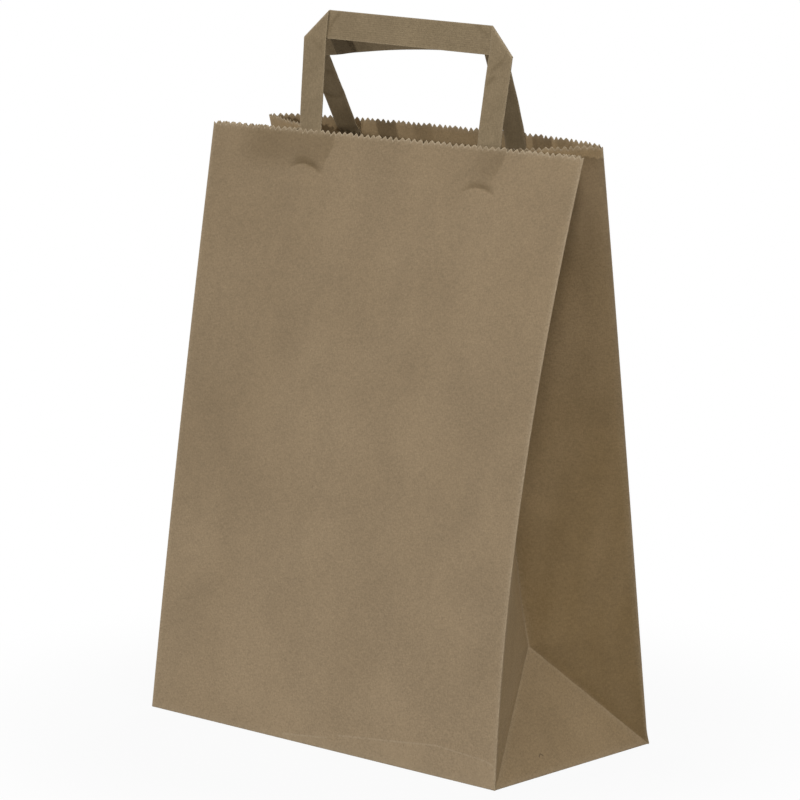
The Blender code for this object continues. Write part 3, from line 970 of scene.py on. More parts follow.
    def add_stretch(self, sheet: SheetMesh, stretch: Stretch) -> Array:
        """Add one stretch: its body, and its zigzag band stitched on.

        Args:
            sheet: The sheet that it joins.
            stretch: The stretch.

        Returns:
            The points of its foot row.
        """
        heights = self.heights()[:, None]
        places = stretch.places[None, :]
        body = self.formed(stretch, places, heights)
        looks = (stretch.flat, stretch.wear, stretch.tone)
        index = sheet.add_grid(body, *(look(places, heights) for look in looks), warm=stretch.warm)
        start = heights[-1, 0]
        rim = stretch.rim_places
        top = self.shape.panel_length - self.zigzag.cut(stretch.cut_at(rim))
        shares = np.array([0.0, 0.4, 0.7, 0.88, 1.0])[:, None]
        band_heights = start + (top[None, :] - start) * shares
        band_places = np.broadcast_to(rim[None, :], band_heights.shape)
        band = self.formed(stretch, band_places, band_heights)
        band = self.ruffled(band, stretch, rim, shares)
        same = len(rim) == len(stretch.places) and np.allclose(rim, stretch.places)
        first_row = 0 if same else 1
        flat, wear, tone = (look(band_places, band_heights) for look in looks)
        wear = np.maximum(wear, self.cut_wear * hump(band_heights - top, 0.0006))
        rows = (grid[first_row:] for grid in (band, flat, wear, tone))
        band_index = sheet.add_grid(*rows, warm=stretch.warm)
        if not same:
            low_share = np.abs(stretch.places - stretch.places[0])
            high_share = np.abs(rim - rim[0])
            sheet.stitch(index[-1], band_index[0], low_share, high_share)
        return body[0]

    def formed(self, stretch: Stretch, places: Array, heights: Array) -> Array:
        """The stretch's surface, with its relief along the normal."""
        points = stretch.surface(places, heights)
        offset = stretch.relief(places, heights)
        if np.any(offset):
            points = points + surface_normals(points) * offset[..., None]
        return points

    def ruffled(self, band: Array, stretch: Stretch, rim: Array, shares: Array) -> Array:
        """Bend the teeth of a panel or gusset half a little in and out, as handling leaves them."""
        fewest_columns = 30
        if len(rim) < fewest_columns:
            return band
        number = stretch.cut_at(rim) / self.zigzag.pitch
        bend = 0.00022 * np.sin(number * 2.1) + 0.00016 * np.sin(number * 0.73 + 1.0)
        ends = ease(np.abs(rim - rim[0]) / 0.004) * ease(np.abs(rim - rim[-1]) / 0.004)
        return band + surface_normals(band) * (bend * ends * shares**2)[..., None]

    def stretches(self) -> list[Stretch]:
        """Every stretch, round the bag from the front panel's left edge."""
        return [
            self.front_panel(),
            self.pressed_fold(Hand.RIGHT, Side.FRONT, flip=False),
            self.gusset_half(Hand.RIGHT, Side.FRONT),
            self.gusset_middle(Hand.RIGHT),
            self.gusset_half(Hand.RIGHT, Side.REAR),
            self.pressed_fold(Hand.RIGHT, Side.REAR, flip=True),
            self.rear_panel(),
            self.seam_ply(),
            self.pressed_fold(Hand.LEFT, Side.REAR, flip=False),
            self.gusset_half(Hand.LEFT, Side.REAR),
            self.gusset_middle(Hand.LEFT),
            self.gusset_half(Hand.LEFT, Side.FRONT),
            self.pressed_fold(Hand.LEFT, Side.FRONT, flip=True),
        ]

    def foot_line(self, feet: list[Array]) -> Array:
        """The closed line round the foot, on the outer ply at the seam.

        Args:
            feet: The foot row of each stretch.

        Returns:
            Its points, the first one repeated at the end.
        """
        line: list[Array] = []
        seam_at = self.seam_from_edge - self.shape.half_width
        for number, foot in enumerate(feet):
            for point in foot:
                under_seam = number == self.rear_number and point[0] < seam_at - 1e-6
                known = line and min(np.linalg.norm(point - line[i]) for i in (0, -1)) < SAME_PLACE
                if not under_seam and not known:
                    line.append(point)
        return np.array([*line, line[0]])

    def add_foot(self, sheet: SheetMesh, ring: Array) -> None:
        """Turn the sheet under along its foot and close it with the block bottom's first ply.

        Args:
            sheet: The sheet.
            ring: Points of the foot line, round the bag.
        """
        half = np.array([self.shape.half_width, self.shape.half_depth])
        inward = -ring[:, :2]
        near_side = half[0] - np.abs(ring[:, 0]) < half[1] - np.abs(ring[:, 1])
        inward = np.where(near_side[:, None], inward * [1, 0], inward * [0, 1])
        inward /= np.linalg.norm(inward, axis=1, keepdims=True)
        angle = np.linspace(0, math.pi / 2, 5)[:, None]
        rows = np.repeat(ring[None], len(angle), axis=0)
        rows[..., :2] += inward[None] * (self.foot_radius * (1 - np.cos(angle)))[..., None]
        rows[..., 2] -= self.foot_radius * np.sin(angle)
        flat = rows[..., :2] + np.array([0.0, -0.3])
        wear = np.full(rows.shape[:2], 0.7)
        index = sheet.add_grid(rows[::-1], flat[::-1], wear, np.zeros(wear.shape))
        sheet.faces.append(tuple(int(i) for i in index[0][::-1]))

    def build(self) -> bpy.types.Object:
        """Make the sheet's object, thick, smooth and with its folds kept.

        Returns:
            The object.
        """
        sheet = SheetMesh("bag_sheet")
        feet = [self.add_stretch(sheet, stretch) for stretch in self.stretches()]
        self.add_foot(sheet, self.foot_line(feet))
        obj = sheet.build()
        outer = len(obj.data.vertices)
        thicken(obj, self.thickness, -1.0)
        # Painted light through the paper: the inner face browner and paler.
        paint_light_through_inside(obj, outer, 1.0, 1.3)
        smooth_faces(obj, 42.0)
        return obj


# Handles and patches


@dataclass
class TapeHandle:
    """A flat tape handle: up one leg, folded at 45 degrees along the bar, and folded down the other leg."""

    sheet: BagSheet
    side: Side
    name: str
    centre: float
    turn: float
    tip: float
    reach: float
    draw_in: tuple[float, float]
    sunk: float = 0.0
    bend_from: float = 0.0
    bend: float = 0.012
    tape: float = 0.0155
    thickness: float = 0.0006
    fold_radius: float = 0.00042
    width: float = 0.142
    top: float = 0.0695
    root_below_rim: float = 0.0048
    leg_below_root: float = 0.050
    stand_off: float = 0.00038
    seed: int = 31
    arch: float = 0.0
    leg_painted_shade: float = 0.0
    bar_painted_shade: float = 0.0
    creases: tuple[Line, ...] = ()
    solids_gap: float = 0.00032
    highest_seat: float = 0.331
    patch_below: tuple[float, float] = (0.022, 0.067)
    crease_depth: float = 0.00020
    crease_painted_shade: float = 1.9

    @property
    def root_height(self) -> Array:
        """Height of the root along the panel."""
        return np.array(self.sheet.shape.panel_length - self.root_below_rim)

    @property
    def root(self) -> Array:
        """Middle of the root, where the solids have it."""
        return self.plain_seat(np.array(self.centre), self.root_height)

    @property
    def shoulder(self) -> float:
        """Height of the bar's lower edge above the root."""
        return self.top - self.tape

    @property
    def length(self) -> float:
        """Length of the tape from the height of one root to the other's."""
        return self.width + 2 * self.shoulder

    def axes(self) -> tuple[Array, Array, Array]:
        """Unit vectors along the bar, up the legs and out of the back of the handle's plane."""
        turn, tip = math.radians(self.turn), math.radians(self.tip)
        rim = self.sheet.shape.panel_length
        centre = np.array(self.centre)
        rear = self.sheet.shape.panel(Side.REAR, centre, np.array(rim))
        front = self.sheet.shape.panel(Side.FRONT, centre, np.array(rim))
        lean = math.atan(self.reach * (rear[1] - front[1]) / self.top)
        across = np.array([math.cos(turn), math.sin(turn), 0.0])
        back = np.array([-math.sin(turn), math.cos(turn), 0.0])
        up = np.array([0.0, 0.0, 1.0]) * math.cos(lean) + back * math.sin(lean)
        along = across * math.cos(tip) + up * math.sin(tip)
        rise = up * math.cos(tip) - across * math.sin(tip)
        return along, rise, -np.cross(along, rise)

    def seat(self, x: Array, height: Array, stand_off: Array) -> Array:
        """Points inside the mouth, this far from the panel's inner face."""
        points = self.sheet.panel_surface(self.side, x, height)
        points[..., 1] -= self.side.value * (self.sheet.thickness + stand_off)
        return points

    def plain_seat(self, x: Array, height: Array) -> Array:
        """The solids' place for the root, without the panel's relief."""
        points = self.sheet.shape.panel(self.side, x, height)
        points[..., 1] -= self.side.value * (self.sheet.shape.ply + self.solids_gap)
        return points

    def place(self, u: Array, v: Array, n: Array) -> Array:
        """Stand the flat handle in the mouth.

        Args:
            u: Places across the handle.
            v: Heights above its root.
            n: Distance from its outer face towards the other handle.

        Returns:
            Points in the row frame.
        """
        along, rise, back = self.axes()
        v = v - self.sunk
        shoulder = self.shoulder - self.sunk
        share = np.maximum((shoulder - v) / shoulder, 0.0)
        left, right = self.draw_in
        u = u + np.where(u < self.width / 2, left * share, -right * share) - self.width / 2
        level = self.root + along * u[..., None]
        points = level + rise * v[..., None]
        conform = self.plain_seat(level[..., 0], self.root_height)[..., 1] - level[..., 1]
        points[..., 1] += conform * np.minimum(share, 1.0)
        height = np.minimum(self.root_height + v, self.highest_seat)
        seated = self.seat(points[..., 0], height, self.stand_off + n - self.thickness / 2)
        free = points - self.side.value * back * n[..., None]
        t = ease((v - self.bend_from) / self.bend)[..., None]
        return seated + (free - seated) * t

    def folded(self, s: Array, w: Array) -> tuple[Array, Array, Array]:
        """Fold the flat tape at its two corners.

        Args:
            s: Places along the tape, from the left root.
            w: Places across it, from its outer edge.

        Returns:
            Places across the handle, heights above its root, and distances from its outer face.
        """
        radius = self.fold_radius
        allowance = math.pi * radius / math.sqrt(2)
        base = self.shoulder - allowance
        right = s > self.length / 2
        t = np.where(right, self.length - s, s)
        past = t - base - w
        angle = np.clip(past / (math.sqrt(2) * math.pi * radius), 0.0, 1.0) * math.pi
        out = radius * np.sin(angle) / math.sqrt(2)
        middle = ((t - base) + w) / 2
        in_leg, in_bar = past <= 0, past >= math.sqrt(2) * math.pi * radius
        u = np.where(in_leg, w, np.where(in_bar, t - self.shoulder, middle - out))
        v = np.where(in_leg, t, np.where(in_bar, self.shoulder + w, base + middle + out))
        n = self.thickness / 2 + radius * (1 - np.cos(angle))
        on_bar = ease((u - self.tape) / 0.02) * np.clip(angle, 0, 1)
        share = np.clip(u / self.width, 0, 1)
        v = v + self.arch * np.sin(math.pi * share) ** 2 * on_bar
        return np.where(right, self.width - u, u), v, n

    def stations(self) -> tuple[Array, Array]:
        """Where each row across the tape starts along it, and how far it slants: 1 and -1 are the folds."""
        zone, before, after = 0.004, -0.0022, 0.0012
        slant_over = 0.030
        leg_rows, bar_rows = 80, 60
        fold = np.concatenate([
            np.linspace(-zone, before, 4)[:-1],
            np.linspace(before, after, 15)[:-1],
            np.linspace(after, zone, 4),
        ])
        rise = self.shoulder - zone
        leg = np.linspace(-self.leg_below_root, rise, leg_rows)[:-1]
        leg_slant = ease((leg - (rise - slant_over)) / slant_over)
        bar = np.linspace(self.shoulder + zone, self.length / 2, bar_rows)[1:-1]
        bar_slant = 1 - (bar - self.shoulder - zone) / (self.length / 2 - self.shoulder - zone)
        starts = np.concatenate([leg, self.shoulder + fold, bar])
        slants = np.concatenate([leg_slant, np.ones(len(fold)), bar_slant])
        middle = np.array([self.length / 2])
        starts = np.concatenate([starts, middle, (self.length - starts)[::-1]])
        slants = np.concatenate([slants, [0.0], -slants[::-1]])
        return starts, slants

    def build(self) -> bpy.types.Object:
        """Make the handle's object.

        Returns:
            The object.
        """
        starts, slants = self.stations()
        edge = 0.0005
        across = np.array([0.0, edge, *np.linspace(0, self.tape, 17)[1:-1], self.tape - edge, self.tape])
        w = np.broadcast_to(across[None, :], (len(starts), len(across)))
        s = starts[:, None] + slants[:, None] * w
        u, v, n = self.folded(s, w)
        noise = SoftNoise(self.seed, 0.030)
        free = ease((v - 0.006) / 0.02)
        wave = 0.00016 * noise(s, w) * free
        dent = nothing(s, w)
        for crease in self.creases:
            dent = dent + hump(line_distance(s, w, crease), 0.0011)
        corner = np.minimum(np.abs(s - self.shoulder - w), np.abs(self.length - s - self.shoulder - w))
        n = n + wave - self.crease_depth * dent * free
        wear = np.maximum(hump(corner, 0.0012), 0.45 * hump(np.minimum(w, self.tape - w), 0.0007))
        tone = 0.40 * SoftNoise(self.seed + 3, 0.022)(s, w) + 0.30 * SoftNoise(self.seed + 4, 0.008)(s, w)
        # Painted shade along the creases; the tape is paler just beside its folds.
        tone = tone - self.crease_painted_shade * dent + 0.5 * hump(corner - 0.0015, 0.0012)
        tape = SheetMesh(self.name)
        tape.add_grid(self.place(u, v, n), pair(s, w), wear, tone, flip=self.side is Side.REAR)
        obj = tape.build()
        thicken(obj, self.thickness, 0.0, edge=0.00012)
        # Painted shade on the inner face.
        if self.leg_painted_shade > 0.0:
            self.paint_inner_shade(obj)
        smooth_faces(obj, 40.0)
        return obj

    def paint_inner_shade(self, obj: bpy.types.Object) -> None:
        """Paint shade on the tape's inner face: most of all on the legs and the bar's ends beside them, less
        over the rest of the bar.
        """
        vertices = obj.data.vertices
        along, rise, back = self.axes()
        inner = ease((read_values(vertices, "normal", 3) @ back * -self.side.value) / 0.5)
        from_root = read_values(vertices, "co", 3) - self.root
        up = from_root @ rise
        beside = np.abs(from_root @ along)
        on_leg = 1 - ease((up - self.shoulder + self.sunk + 0.002) / 0.003)
        on_leg = np.maximum(on_leg, ease((beside - self.width / 2 + self.tape + 0.0062) / 0.0012))
        low = 1 - ease(up / 0.03)
        # Painted shade, deeper on the legs low down, lighter over the rest of the bar.
        depth = self.leg_painted_shade * on_leg * (1 + 0.25 * low) + self.bar_painted_shade * (1 - on_leg)
        data = obj.data.attributes["tone"].data
        tones = read_values(data, "value")
        tones -= (inner * depth).astype(np.float32)
        data.foreach_set("value", tones)

    def leg_span(self) -> list[tuple[float, float]]:
        """Low and high x of each leg where the patch covers it."""
        spans = []
        levels = self.root_below_rim + self.sunk - np.array(self.patch_below)
        for start in (0.0, self.width - self.tape):
            low = self.place(np.full(2, start), levels, np.zeros(2))[:, 0]
            high = self.place(np.full(2, start + self.tape), levels, np.zeros(2))[:, 0]
            spans.append((float(low.min()), float(high.max())))
        return spans


@dataclass
class HandlePatch:
    """The kraft strip glued over a handle's legs inside its panel."""

    handle: TapeHandle
    name: str
    below_rim: float = 0.022
    height: float = 0.045
    past_legs: float = 0.014
    room: float = 0.0012
    slope: float = 0.0022
    thickness: float = 0.00018
    seed: int = 41

    def stand_off(self, x: Array, height: Array) -> Array:
        """Distance from the panel's inner face, raised over each leg."""
        x, height = np.broadcast_arrays(x, height)
        over = nothing(x, height)
        for low, high in self.handle.leg_span():
            rise = ease((x - low + self.room + self.slope) / self.slope)
            fall = ease((high + self.room + self.slope - x) / self.slope)
            over = np.maximum(over, rise * fall)
        lift = self.handle.stand_off + self.handle.thickness + 0.0001
        pucker = 0.00012 * (1 + SoftNoise(self.seed, 0.014)(x, height))
        return 0.00006 + lift * over + pucker

    def build(self) -> bpy.types.Object:
        """Make the patch's object.

        Returns:
            The object.
        """
        legs = self.handle.leg_span()
        low, high = legs[0][0] - self.past_legs, legs[1][1] + self.past_legs
        top = self.handle.sheet.shape.panel_length - self.below_rim
        x = np.linspace(low, high, 150)[None, :]
        h = np.linspace(top - self.height, top, 28)[:, None]
        points = self.handle.seat(*np.broadcast_arrays(x, h), self.stand_off(x, h))
        flat = pair(x + 0.5, h)
        near = np.minimum(np.minimum(x - low, high - x), np.minimum(top - h, h - top + self.height))
        patch = SheetMesh(self.name)
        tone = 0.25 * SoftNoise(self.seed + 1, 0.05)(x, h) + 0.1
        patch.add_grid(points, flat, 0.8 * hump(near, 0.0007), tone, flip=self.handle.side is Side.FRONT)
        obj = patch.build()
        thicken(obj, self.thickness, 0.0)
        smooth_faces(obj, 40.0)
        return obj


@dataclass
class BlockBottom:
    """The two long glued flaps under the bag."""

    shape: BagShape
    inset: float = 0.0007
    past_middle: float = 0.012
    thickness: float = 0.00013
    levels: dict[Side, float] = field(default_factory=lambda: {Side.REAR: 0.00007, Side.FRONT: 0.00022})

    def build(self, side: Side) -> bpy.types.Object:
        """Make one flap: a trapezoid that reaches past the middle, with its ends folded at 45 degrees.

        Args:
            side: The panel that it belongs to.

        Returns:
            The flap's object.
        """
        fold = self.shape.half_depth - self.inset
        reach = fold + self.past_middle
        wide = self.shape.half_width - self.inset
        rows = np.array([0.0, 0.0006, *np.linspace(0, reach, 16)[1:-1], reach - 0.0006, reach])[:, None]
        share = np.array([-1.0, -0.995, *np.linspace(-1, 1, 41)[1:-1], 0.995, 1.0])[None, :]
        x = share * (wide - rows)
        y = side.value * (fold - rows) + 0 * x
        z = np.full(x.shape, self.levels[side])
        flap = SheetMesh(f"bottom_flap_{side.name.lower()}")
        near = np.minimum(reach - rows, (1 - np.abs(share)) * (wide - rows))
        tone = 0.3 * SoftNoise(51 + side.value, 0.07)(x, y)
        points = np.stack([x, y, z], -1)
        flap.add_grid(points, pair(x, y - 0.5), 0.8 * hump(near, 0.0008), tone, flip=side is Side.FRONT)
        obj = flap.build()
        thicken(obj, self.thickness, 0.0)
        smooth_faces(obj, 40.0)
        return obj


# Finishes


def new_group(name: str, inputs: dict[str, float | None], outputs: dict[str, str]) -> bpy.types.NodeTree:
    """Make a shader node group with named sockets.

    Args:
        name: The group's name.
        inputs: Default of each number, or None for a vector.
        outputs: Kind of each output, Float or Color.

    Returns:
        The group, with its input and output nodes placed.
    """
    group = bpy.data.node_groups.new(name, "ShaderNodeTree")
    for socket, default in inputs.items():
        kind = "NodeSocketVector" if default is None else "NodeSocketFloat"
        made = group.interface.new_socket(socket, in_out="INPUT", socket_type=kind)
        if default is not None:
            made.default_value = default
    for socket, kind in outputs.items():
        group.interface.new_socket(socket, in_out="OUTPUT", socket_type=f"NodeSocket{kind}")
    group.nodes.new("NodeGroupInput").name = "in"
    group.nodes.new("NodeGroupOutput").name = "out"
    return group


@dataclass
class NodeWriter:
    """Short ways to add nodes to a shader tree."""

    tree: bpy.types.NodeTree

    def node(self, kind: str, **settings: object) -> bpy.types.Node:
        """Add a node and set its properties."""
        made = self.tree.nodes.new(kind)
        for key, value in settings.items():
            setattr(made, key, value)
        return made

    def link(self, source: bpy.types.NodeSocket, target: bpy.types.NodeSocket) -> None:
        """Join two sockets."""
        self.tree.links.new(source, target)

    def math(self, operation: str, first: object, second: object = None, clamp: bool = False) -> object:
        """Add a math node on sockets or numbers, and give its output."""
        made = self.node("ShaderNodeMath", operation=operation, use_clamp=clamp)
        for index, value in enumerate((first, second)):
            if isinstance(value, bpy.types.NodeSocket):
                self.link(value, made.inputs[index])
            elif value is not None:
                made.inputs[index].default_value = value
        return made.outputs[0]

    def weighted(self, first: object, share: float, second: object, rest: float) -> object:
        """Sum of two values, each times its own share."""
        return self.math("ADD", self.math("MULTIPLY", first, share), self.math("MULTIPLY", second, rest))

    def parts(self, vector: object) -> tuple[object, object]:
        """The first two coordinates of a vector."""
        made = self.node("ShaderNodeSeparateXYZ")
        self.link(vector, made.inputs[0])
        return made.outputs["X"], made.outputs["Y"]

    def shared(self, group: bpy.types.NodeTree, place: object) -> bpy.types.Node:
        """Add a shared node group that reads places on the flat sheet."""
        made = self.node("ShaderNodeGroup", node_tree=group)
        self.link(place, made.inputs["Vector"])
        return made

    def mapped(self, vector: object, scale: tuple[float, float, float], turn: float = 0.0) -> object:
        """Scale and turn a vector."""
        made = self.node("ShaderNodeMapping")
        made.inputs["Scale"].default_value = scale
        made.inputs["Rotation"].default_value = (0.0, 0.0, turn)
        self.link(vector, made.inputs["Vector"])
        return made.outputs["Vector"]

    def noise(
        self, vector: object, scale: float, detail: float, rough: float = 0.5, warp: float = 0.0
    ) -> object:
        """Add a noise texture and give its value."""
        made = self.node("ShaderNodeTexNoise", noise_dimensions="3D")
        self.link(vector, made.inputs["Vector"])
        made.inputs["Scale"].default_value = scale
        made.inputs["Detail"].default_value = detail
        made.inputs["Roughness"].default_value = rough
        made.inputs["Distortion"].default_value = warp
        return made.outputs[0]

    def spread(
        self, value: object, low: float, high: float, to_low: float = 0.0, to_high: float = 1.0
    ) -> object:
        """Map a range of values to another, clamped."""
        made = self.node("ShaderNodeMapRange", interpolation_type="SMOOTHSTEP", clamp=True)
        self.link(value, made.inputs["Value"])
        made.inputs["From Min"].default_value = low
        made.inputs["From Max"].default_value = high
        made.inputs["To Min"].default_value = to_low
        made.inputs["To Max"].default_value = to_high
        return made.outputs[0]

    def mix(self, share: object, first: object, second: object, blend: str = "MIX") -> object:
        """Mix two colours by a share."""
        made = self.node("ShaderNodeMix", data_type="RGBA", blend_type=blend)
        for socket, value in ((made.inputs[0], share), (made.inputs[6], first), (made.inputs[7], second)):
            if isinstance(value, bpy.types.NodeSocket):
                self.link(value, socket)
            else:
                socket.default_value = value
        return made.outputs[2]


def fibre_group() -> bpy.types.NodeTree:
    """Fine pulp fibres: thin streaks lying mostly along the paper's grain, with light and dark ones.

    Returns:
        The node group, from places on the flat sheet in metres to a tone and a height.
    """
    group = new_group("paper_fibre", {"Vector": None}, {"Tone": "Float", "Height": "Float"})
    write = NodeWriter(group)
    vector, out = group.nodes["in"].outputs["Vector"], group.nodes["out"]
    streak = write.noise(write.mapped(vector, (1.0, 0.38, 1.0), 0.12), 1500.0, 3.0, 0.62, 0.4)
    cross = write.noise(write.mapped(vector, (0.45, 1.0, 1.0), -0.5), 1100.0, 2.0, 0.55, 0.6)
    fine = write.noise(vector, 3600.0, 2.0, 0.6)
    body = write.weighted(write.weighted(streak, 0.55, cross, 0.45), 0.75, fine, 0.25)
    write.link(write.spread(body, 0.30, 0.70), out.inputs["Tone"])
    write.link(body, out.inputs["Height"])
    return group


def mottle_group() -> bpy.types.NodeTree:
    """Cloudy unevenness of the pulp, small flecks and slight cockling.

    Returns:
        The node group, from places on the flat sheet to a cloud tone, a mask of dark flecks and a height.
    """
    outputs = {"Cloud": "Float", "Fleck": "Float", "Cockle": "Float"}
    group = new_group("paper_mottle", {"Vector": None}, outputs)
    write = NodeWriter(group)
    vector, out = group.nodes["in"].outputs["Vector"], group.nodes["out"]
    wide = write.noise(write.mapped(vector, (1.0, 0.7, 1.0)), 26.0, 3.0, 0.55, 0.6)
    small = write.noise(vector, 190.0, 3.0, 0.6)
    write.link(write.spread(write.weighted(wide, 0.6, small, 0.4), 0.34, 0.66), out.inputs["Cloud"])
    fleck = write.noise(write.mapped(vector, (1.0, 0.45, 1.0), 0.4), 900.0, 1.0)
    write.link(write.spread(fleck, 0.72, 0.80), out.inputs["Fleck"])
    write.link(write.noise(vector, 48.0, 2.0, 0.5), out.inputs["Cockle"])
    return group


def tone_group() -> bpy.types.NodeTree:
    """Colour change of kraft paper: browner where it is darker or has the painted brown tint of shade, greyer
    where it is lighter.

    Returns:
        The node group, from a tone, its strength and the painted tint to a colour that multiplies the
        paper's.
    """
    group = new_group("kraft_tone", {"Tone": 0.0, "Strength": 0.1, "Warm": 0.0}, {"Factor": "Color"})
    write = NodeWriter(group)
    inside, out = group.nodes["in"], group.nodes["out"]
    change = write.math("MULTIPLY", inside.outputs["Tone"], inside.outputs["Strength"])
    mixed = write.node("ShaderNodeCombineColor")
    red_green_blue_shares = (1.0, 1.08, 1.28)
    # How the painted brown tint of shade shifts each channel.
    red_green_blue_tint_shift = (0.0, -0.055, -0.20)
    darkest = 0.08
    for socket, share, brown in zip(mixed.inputs, red_green_blue_shares, red_green_blue_tint_shift):
        level = write.math("ADD", write.math("MULTIPLY", change, share), 1.0)
        level = write.math("ADD", level, write.math("MULTIPLY", inside.outputs["Warm"], brown))
        write.link(write.math("MAXIMUM", level, darkest), socket)
    write.link(mixed.outputs[0], out.inputs["Factor"])
    return group


def rib_group() -> bpy.types.NodeTree:
    """Fine ribs along a tape of pressed plies.

    Returns:
        The node group, from places on the flat tape to the ribs' height.
    """
    pitch = 0.00115
    group = new_group("tape_ribs", {"Vector": None}, {"Height": "Float"})
    write = NodeWriter(group)
    vector, out = group.nodes["in"].outputs["Vector"], group.nodes["out"]
    _, across = write.parts(vector)
    drift = write.noise(write.mapped(vector, (0.05, 1.0, 1.0)), 200.0, 1.0)
    across = write.math("ADD", write.math("DIVIDE", across, pitch), write.math("MULTIPLY", drift, 0.35))
    wave = write.math("SINE", write.math("MULTIPLY", across, 2 * math.pi))
    write.link(write.math("ADD", write.math("MULTIPLY", wave, 0.5), 0.5), out.inputs["Height"])
    return group


@dataclass(frozen=True)
class KraftFinish:
    """Uncoated kraft paper, from its own places on the flat sheet and its wear and tone.

    Args:
        name: Name of the material.
        colour: Its even colour.
        fleck: Colour of the dark flecks.
        worn: Colour of rubbed folds and cut edges.
        fibre: How strongly the fibres change the colour.
        cloud: How strongly the clouds change it.
        marks: How strongly the tone attribute, painted light and shade included, changes it.
        wear: How strongly the wear shows.
        grain: Depth of the fibres in metres.
        cockle: Depth of the cockling in metres.
        ribs: Depth of a tape's ribs in metres.
        rib_tone: How strongly the ribs change the colour.
        fleck_share: How much of the flecks' colour shows.
        nick: Place of a torn nick on the flat sheet, where there is one.
        pressed: Lines pressed into the paper near the foot, each by its two ends on the flat sheet.
        ridge: How strongly such a line shows.
        pale: How much paler the paper is below it.
    """

    name: str
    colour: tuple[float, float, float]
    fleck: tuple[float, float, float] = (0.120, 0.080, 0.042)
    worn: tuple[float, float, float] = (0.42, 0.335, 0.225)
    fibre: float = 0.36
    cloud: float = 0.13
    marks: float = 0.10
    wear: float = 0.62
    grain: float = 0.00006
    cockle: float = 0.00012
    ribs: float = 0.0
    rib_tone: float = 0.07
    fleck_share: float = 0.35
    nick: tuple[float, float] | None = None
    pressed: tuple[tuple[float, float, float, float], ...] = ()
    ridge: float = 0.60
    pale: float = 0.045

    def material(self, groups: dict[str, bpy.types.NodeTree]) -> bpy.types.Material:
        """Make the material.

        Args:
            groups: The shared node groups.

        Returns:
            The material.
        """
        material = bpy.data.materials.new(self.name)
        material.use_nodes = True
        tree = material.node_tree
        write = NodeWriter(tree)
        shader = tree.nodes["Principled BSDF"]
        shader.inputs["Metallic"].default_value = 0.0
        shader.inputs["IOR"].default_value = 1.42
        place = write.node("ShaderNodeUVMap", uv_map="flat_sheet").outputs["UV"]
        fibre = write.shared(groups["fibre"], place)
        mottle = write.shared(groups["mottle"], place)
        tone, wear, warm = (
            write.node("ShaderNodeAttribute", attribute_name=name).outputs["Fac"]
            for name in ("tone", "wear", "warm")
        )
        fleck, worn = (*self.fleck, 1.0), (*self.worn, 1.0)

        amount = self.swing(write, fibre.outputs["Tone"], self.fibre)
        amount = write.math("ADD", amount, self.swing(write, mottle.outputs["Cloud"], self.cloud))
        height = write.weighted(fibre.outputs["Height"], self.grain, mottle.outputs["Cockle"], self.cockle)
        if self.ribs > 0.0:
            ribs = write.shared(groups["ribs"], place).outputs["Height"]
            amount = write.math("ADD", amount, self.swing(write, ribs, self.rib_tone))
            height = write.math("ADD", height, write.math("MULTIPLY", ribs, self.ribs))
        level = write.math("ADD", amount, 1.0)
        grey = write.node("ShaderNodeCombineColor")
        for socket in grey.inputs:
            write.link(level, socket)
        colour = write.mix(1.0, (*self.colour, 1.0), grey.outputs[0], blend="MULTIPLY")
        toned = write.node("ShaderNodeGroup", node_tree=groups["tone"])
        toned.inputs["Strength"].default_value = self.marks
        write.link(tone, toned.inputs["Tone"])
        # The painted brown tint of shade and of light through the paper.
        write.link(warm, toned.inputs["Warm"])
        colour = write.mix(1.0, colour, toned.outputs["Factor"], blend="MULTIPLY")
        if self.nick:
            colour = write.mix(self.nick_mask(write, place), colour, fleck)
        for line in self.pressed:
            ridge, below = self.pressed_masks(write, place, line)
            colour = write.mix(below, colour, worn)
            colour = write.mix(write.math("MULTIPLY", ridge, fibre.outputs["Tone"]), colour, worn)
        colour = write.mix(write.math("MULTIPLY", mottle.outputs["Fleck"], self.fleck_share), colour, fleck)
        patchy = write.spread(fibre.outputs["Tone"], 0.1, 0.9, 0.45, 1.0)
        rubbed = write.math("MULTIPLY", write.math("MULTIPLY", wear, patchy), self.wear, clamp=True)
        colour = write.mix(rubbed, colour, worn)
        write.link(colour, shader.inputs["Base Color"])
        rough = write.spread(fibre.outputs["Tone"], 0.0, 1.0, 0.90, 0.78)
        write.link(rough, shader.inputs["Roughness"])
        bump = write.node("ShaderNodeBump")
        bump.inputs["Strength"].default_value = 1.0
        bump.inputs["Distance"].default_value = 1.0
        write.link(height, bump.inputs["Height"])
        write.link(bump.outputs["Normal"], shader.inputs["Normal"])
        return material

    def nick_mask(self, write: NodeWriter, place: object) -> object:
        """Mask of one small torn nick, a flat arrowhead in the paper."""
        x, y = write.parts(place)
        across = write.math("ABSOLUTE", write.math("SUBTRACT", x, self.nick[0]))
        level = write.math("SUBTRACT", y, self.nick[1])
        level = write.math("ADD", level, write.math("MULTIPLY", across, 0.75))
        thin = write.spread(write.math("ABSOLUTE", level), 0.0002, 0.0006, 0.9, 0.0)
        short = write.spread(across, 0.0015, 0.0022, 1.0, 0.0)
        return write.math("MULTIPLY", thin, short)

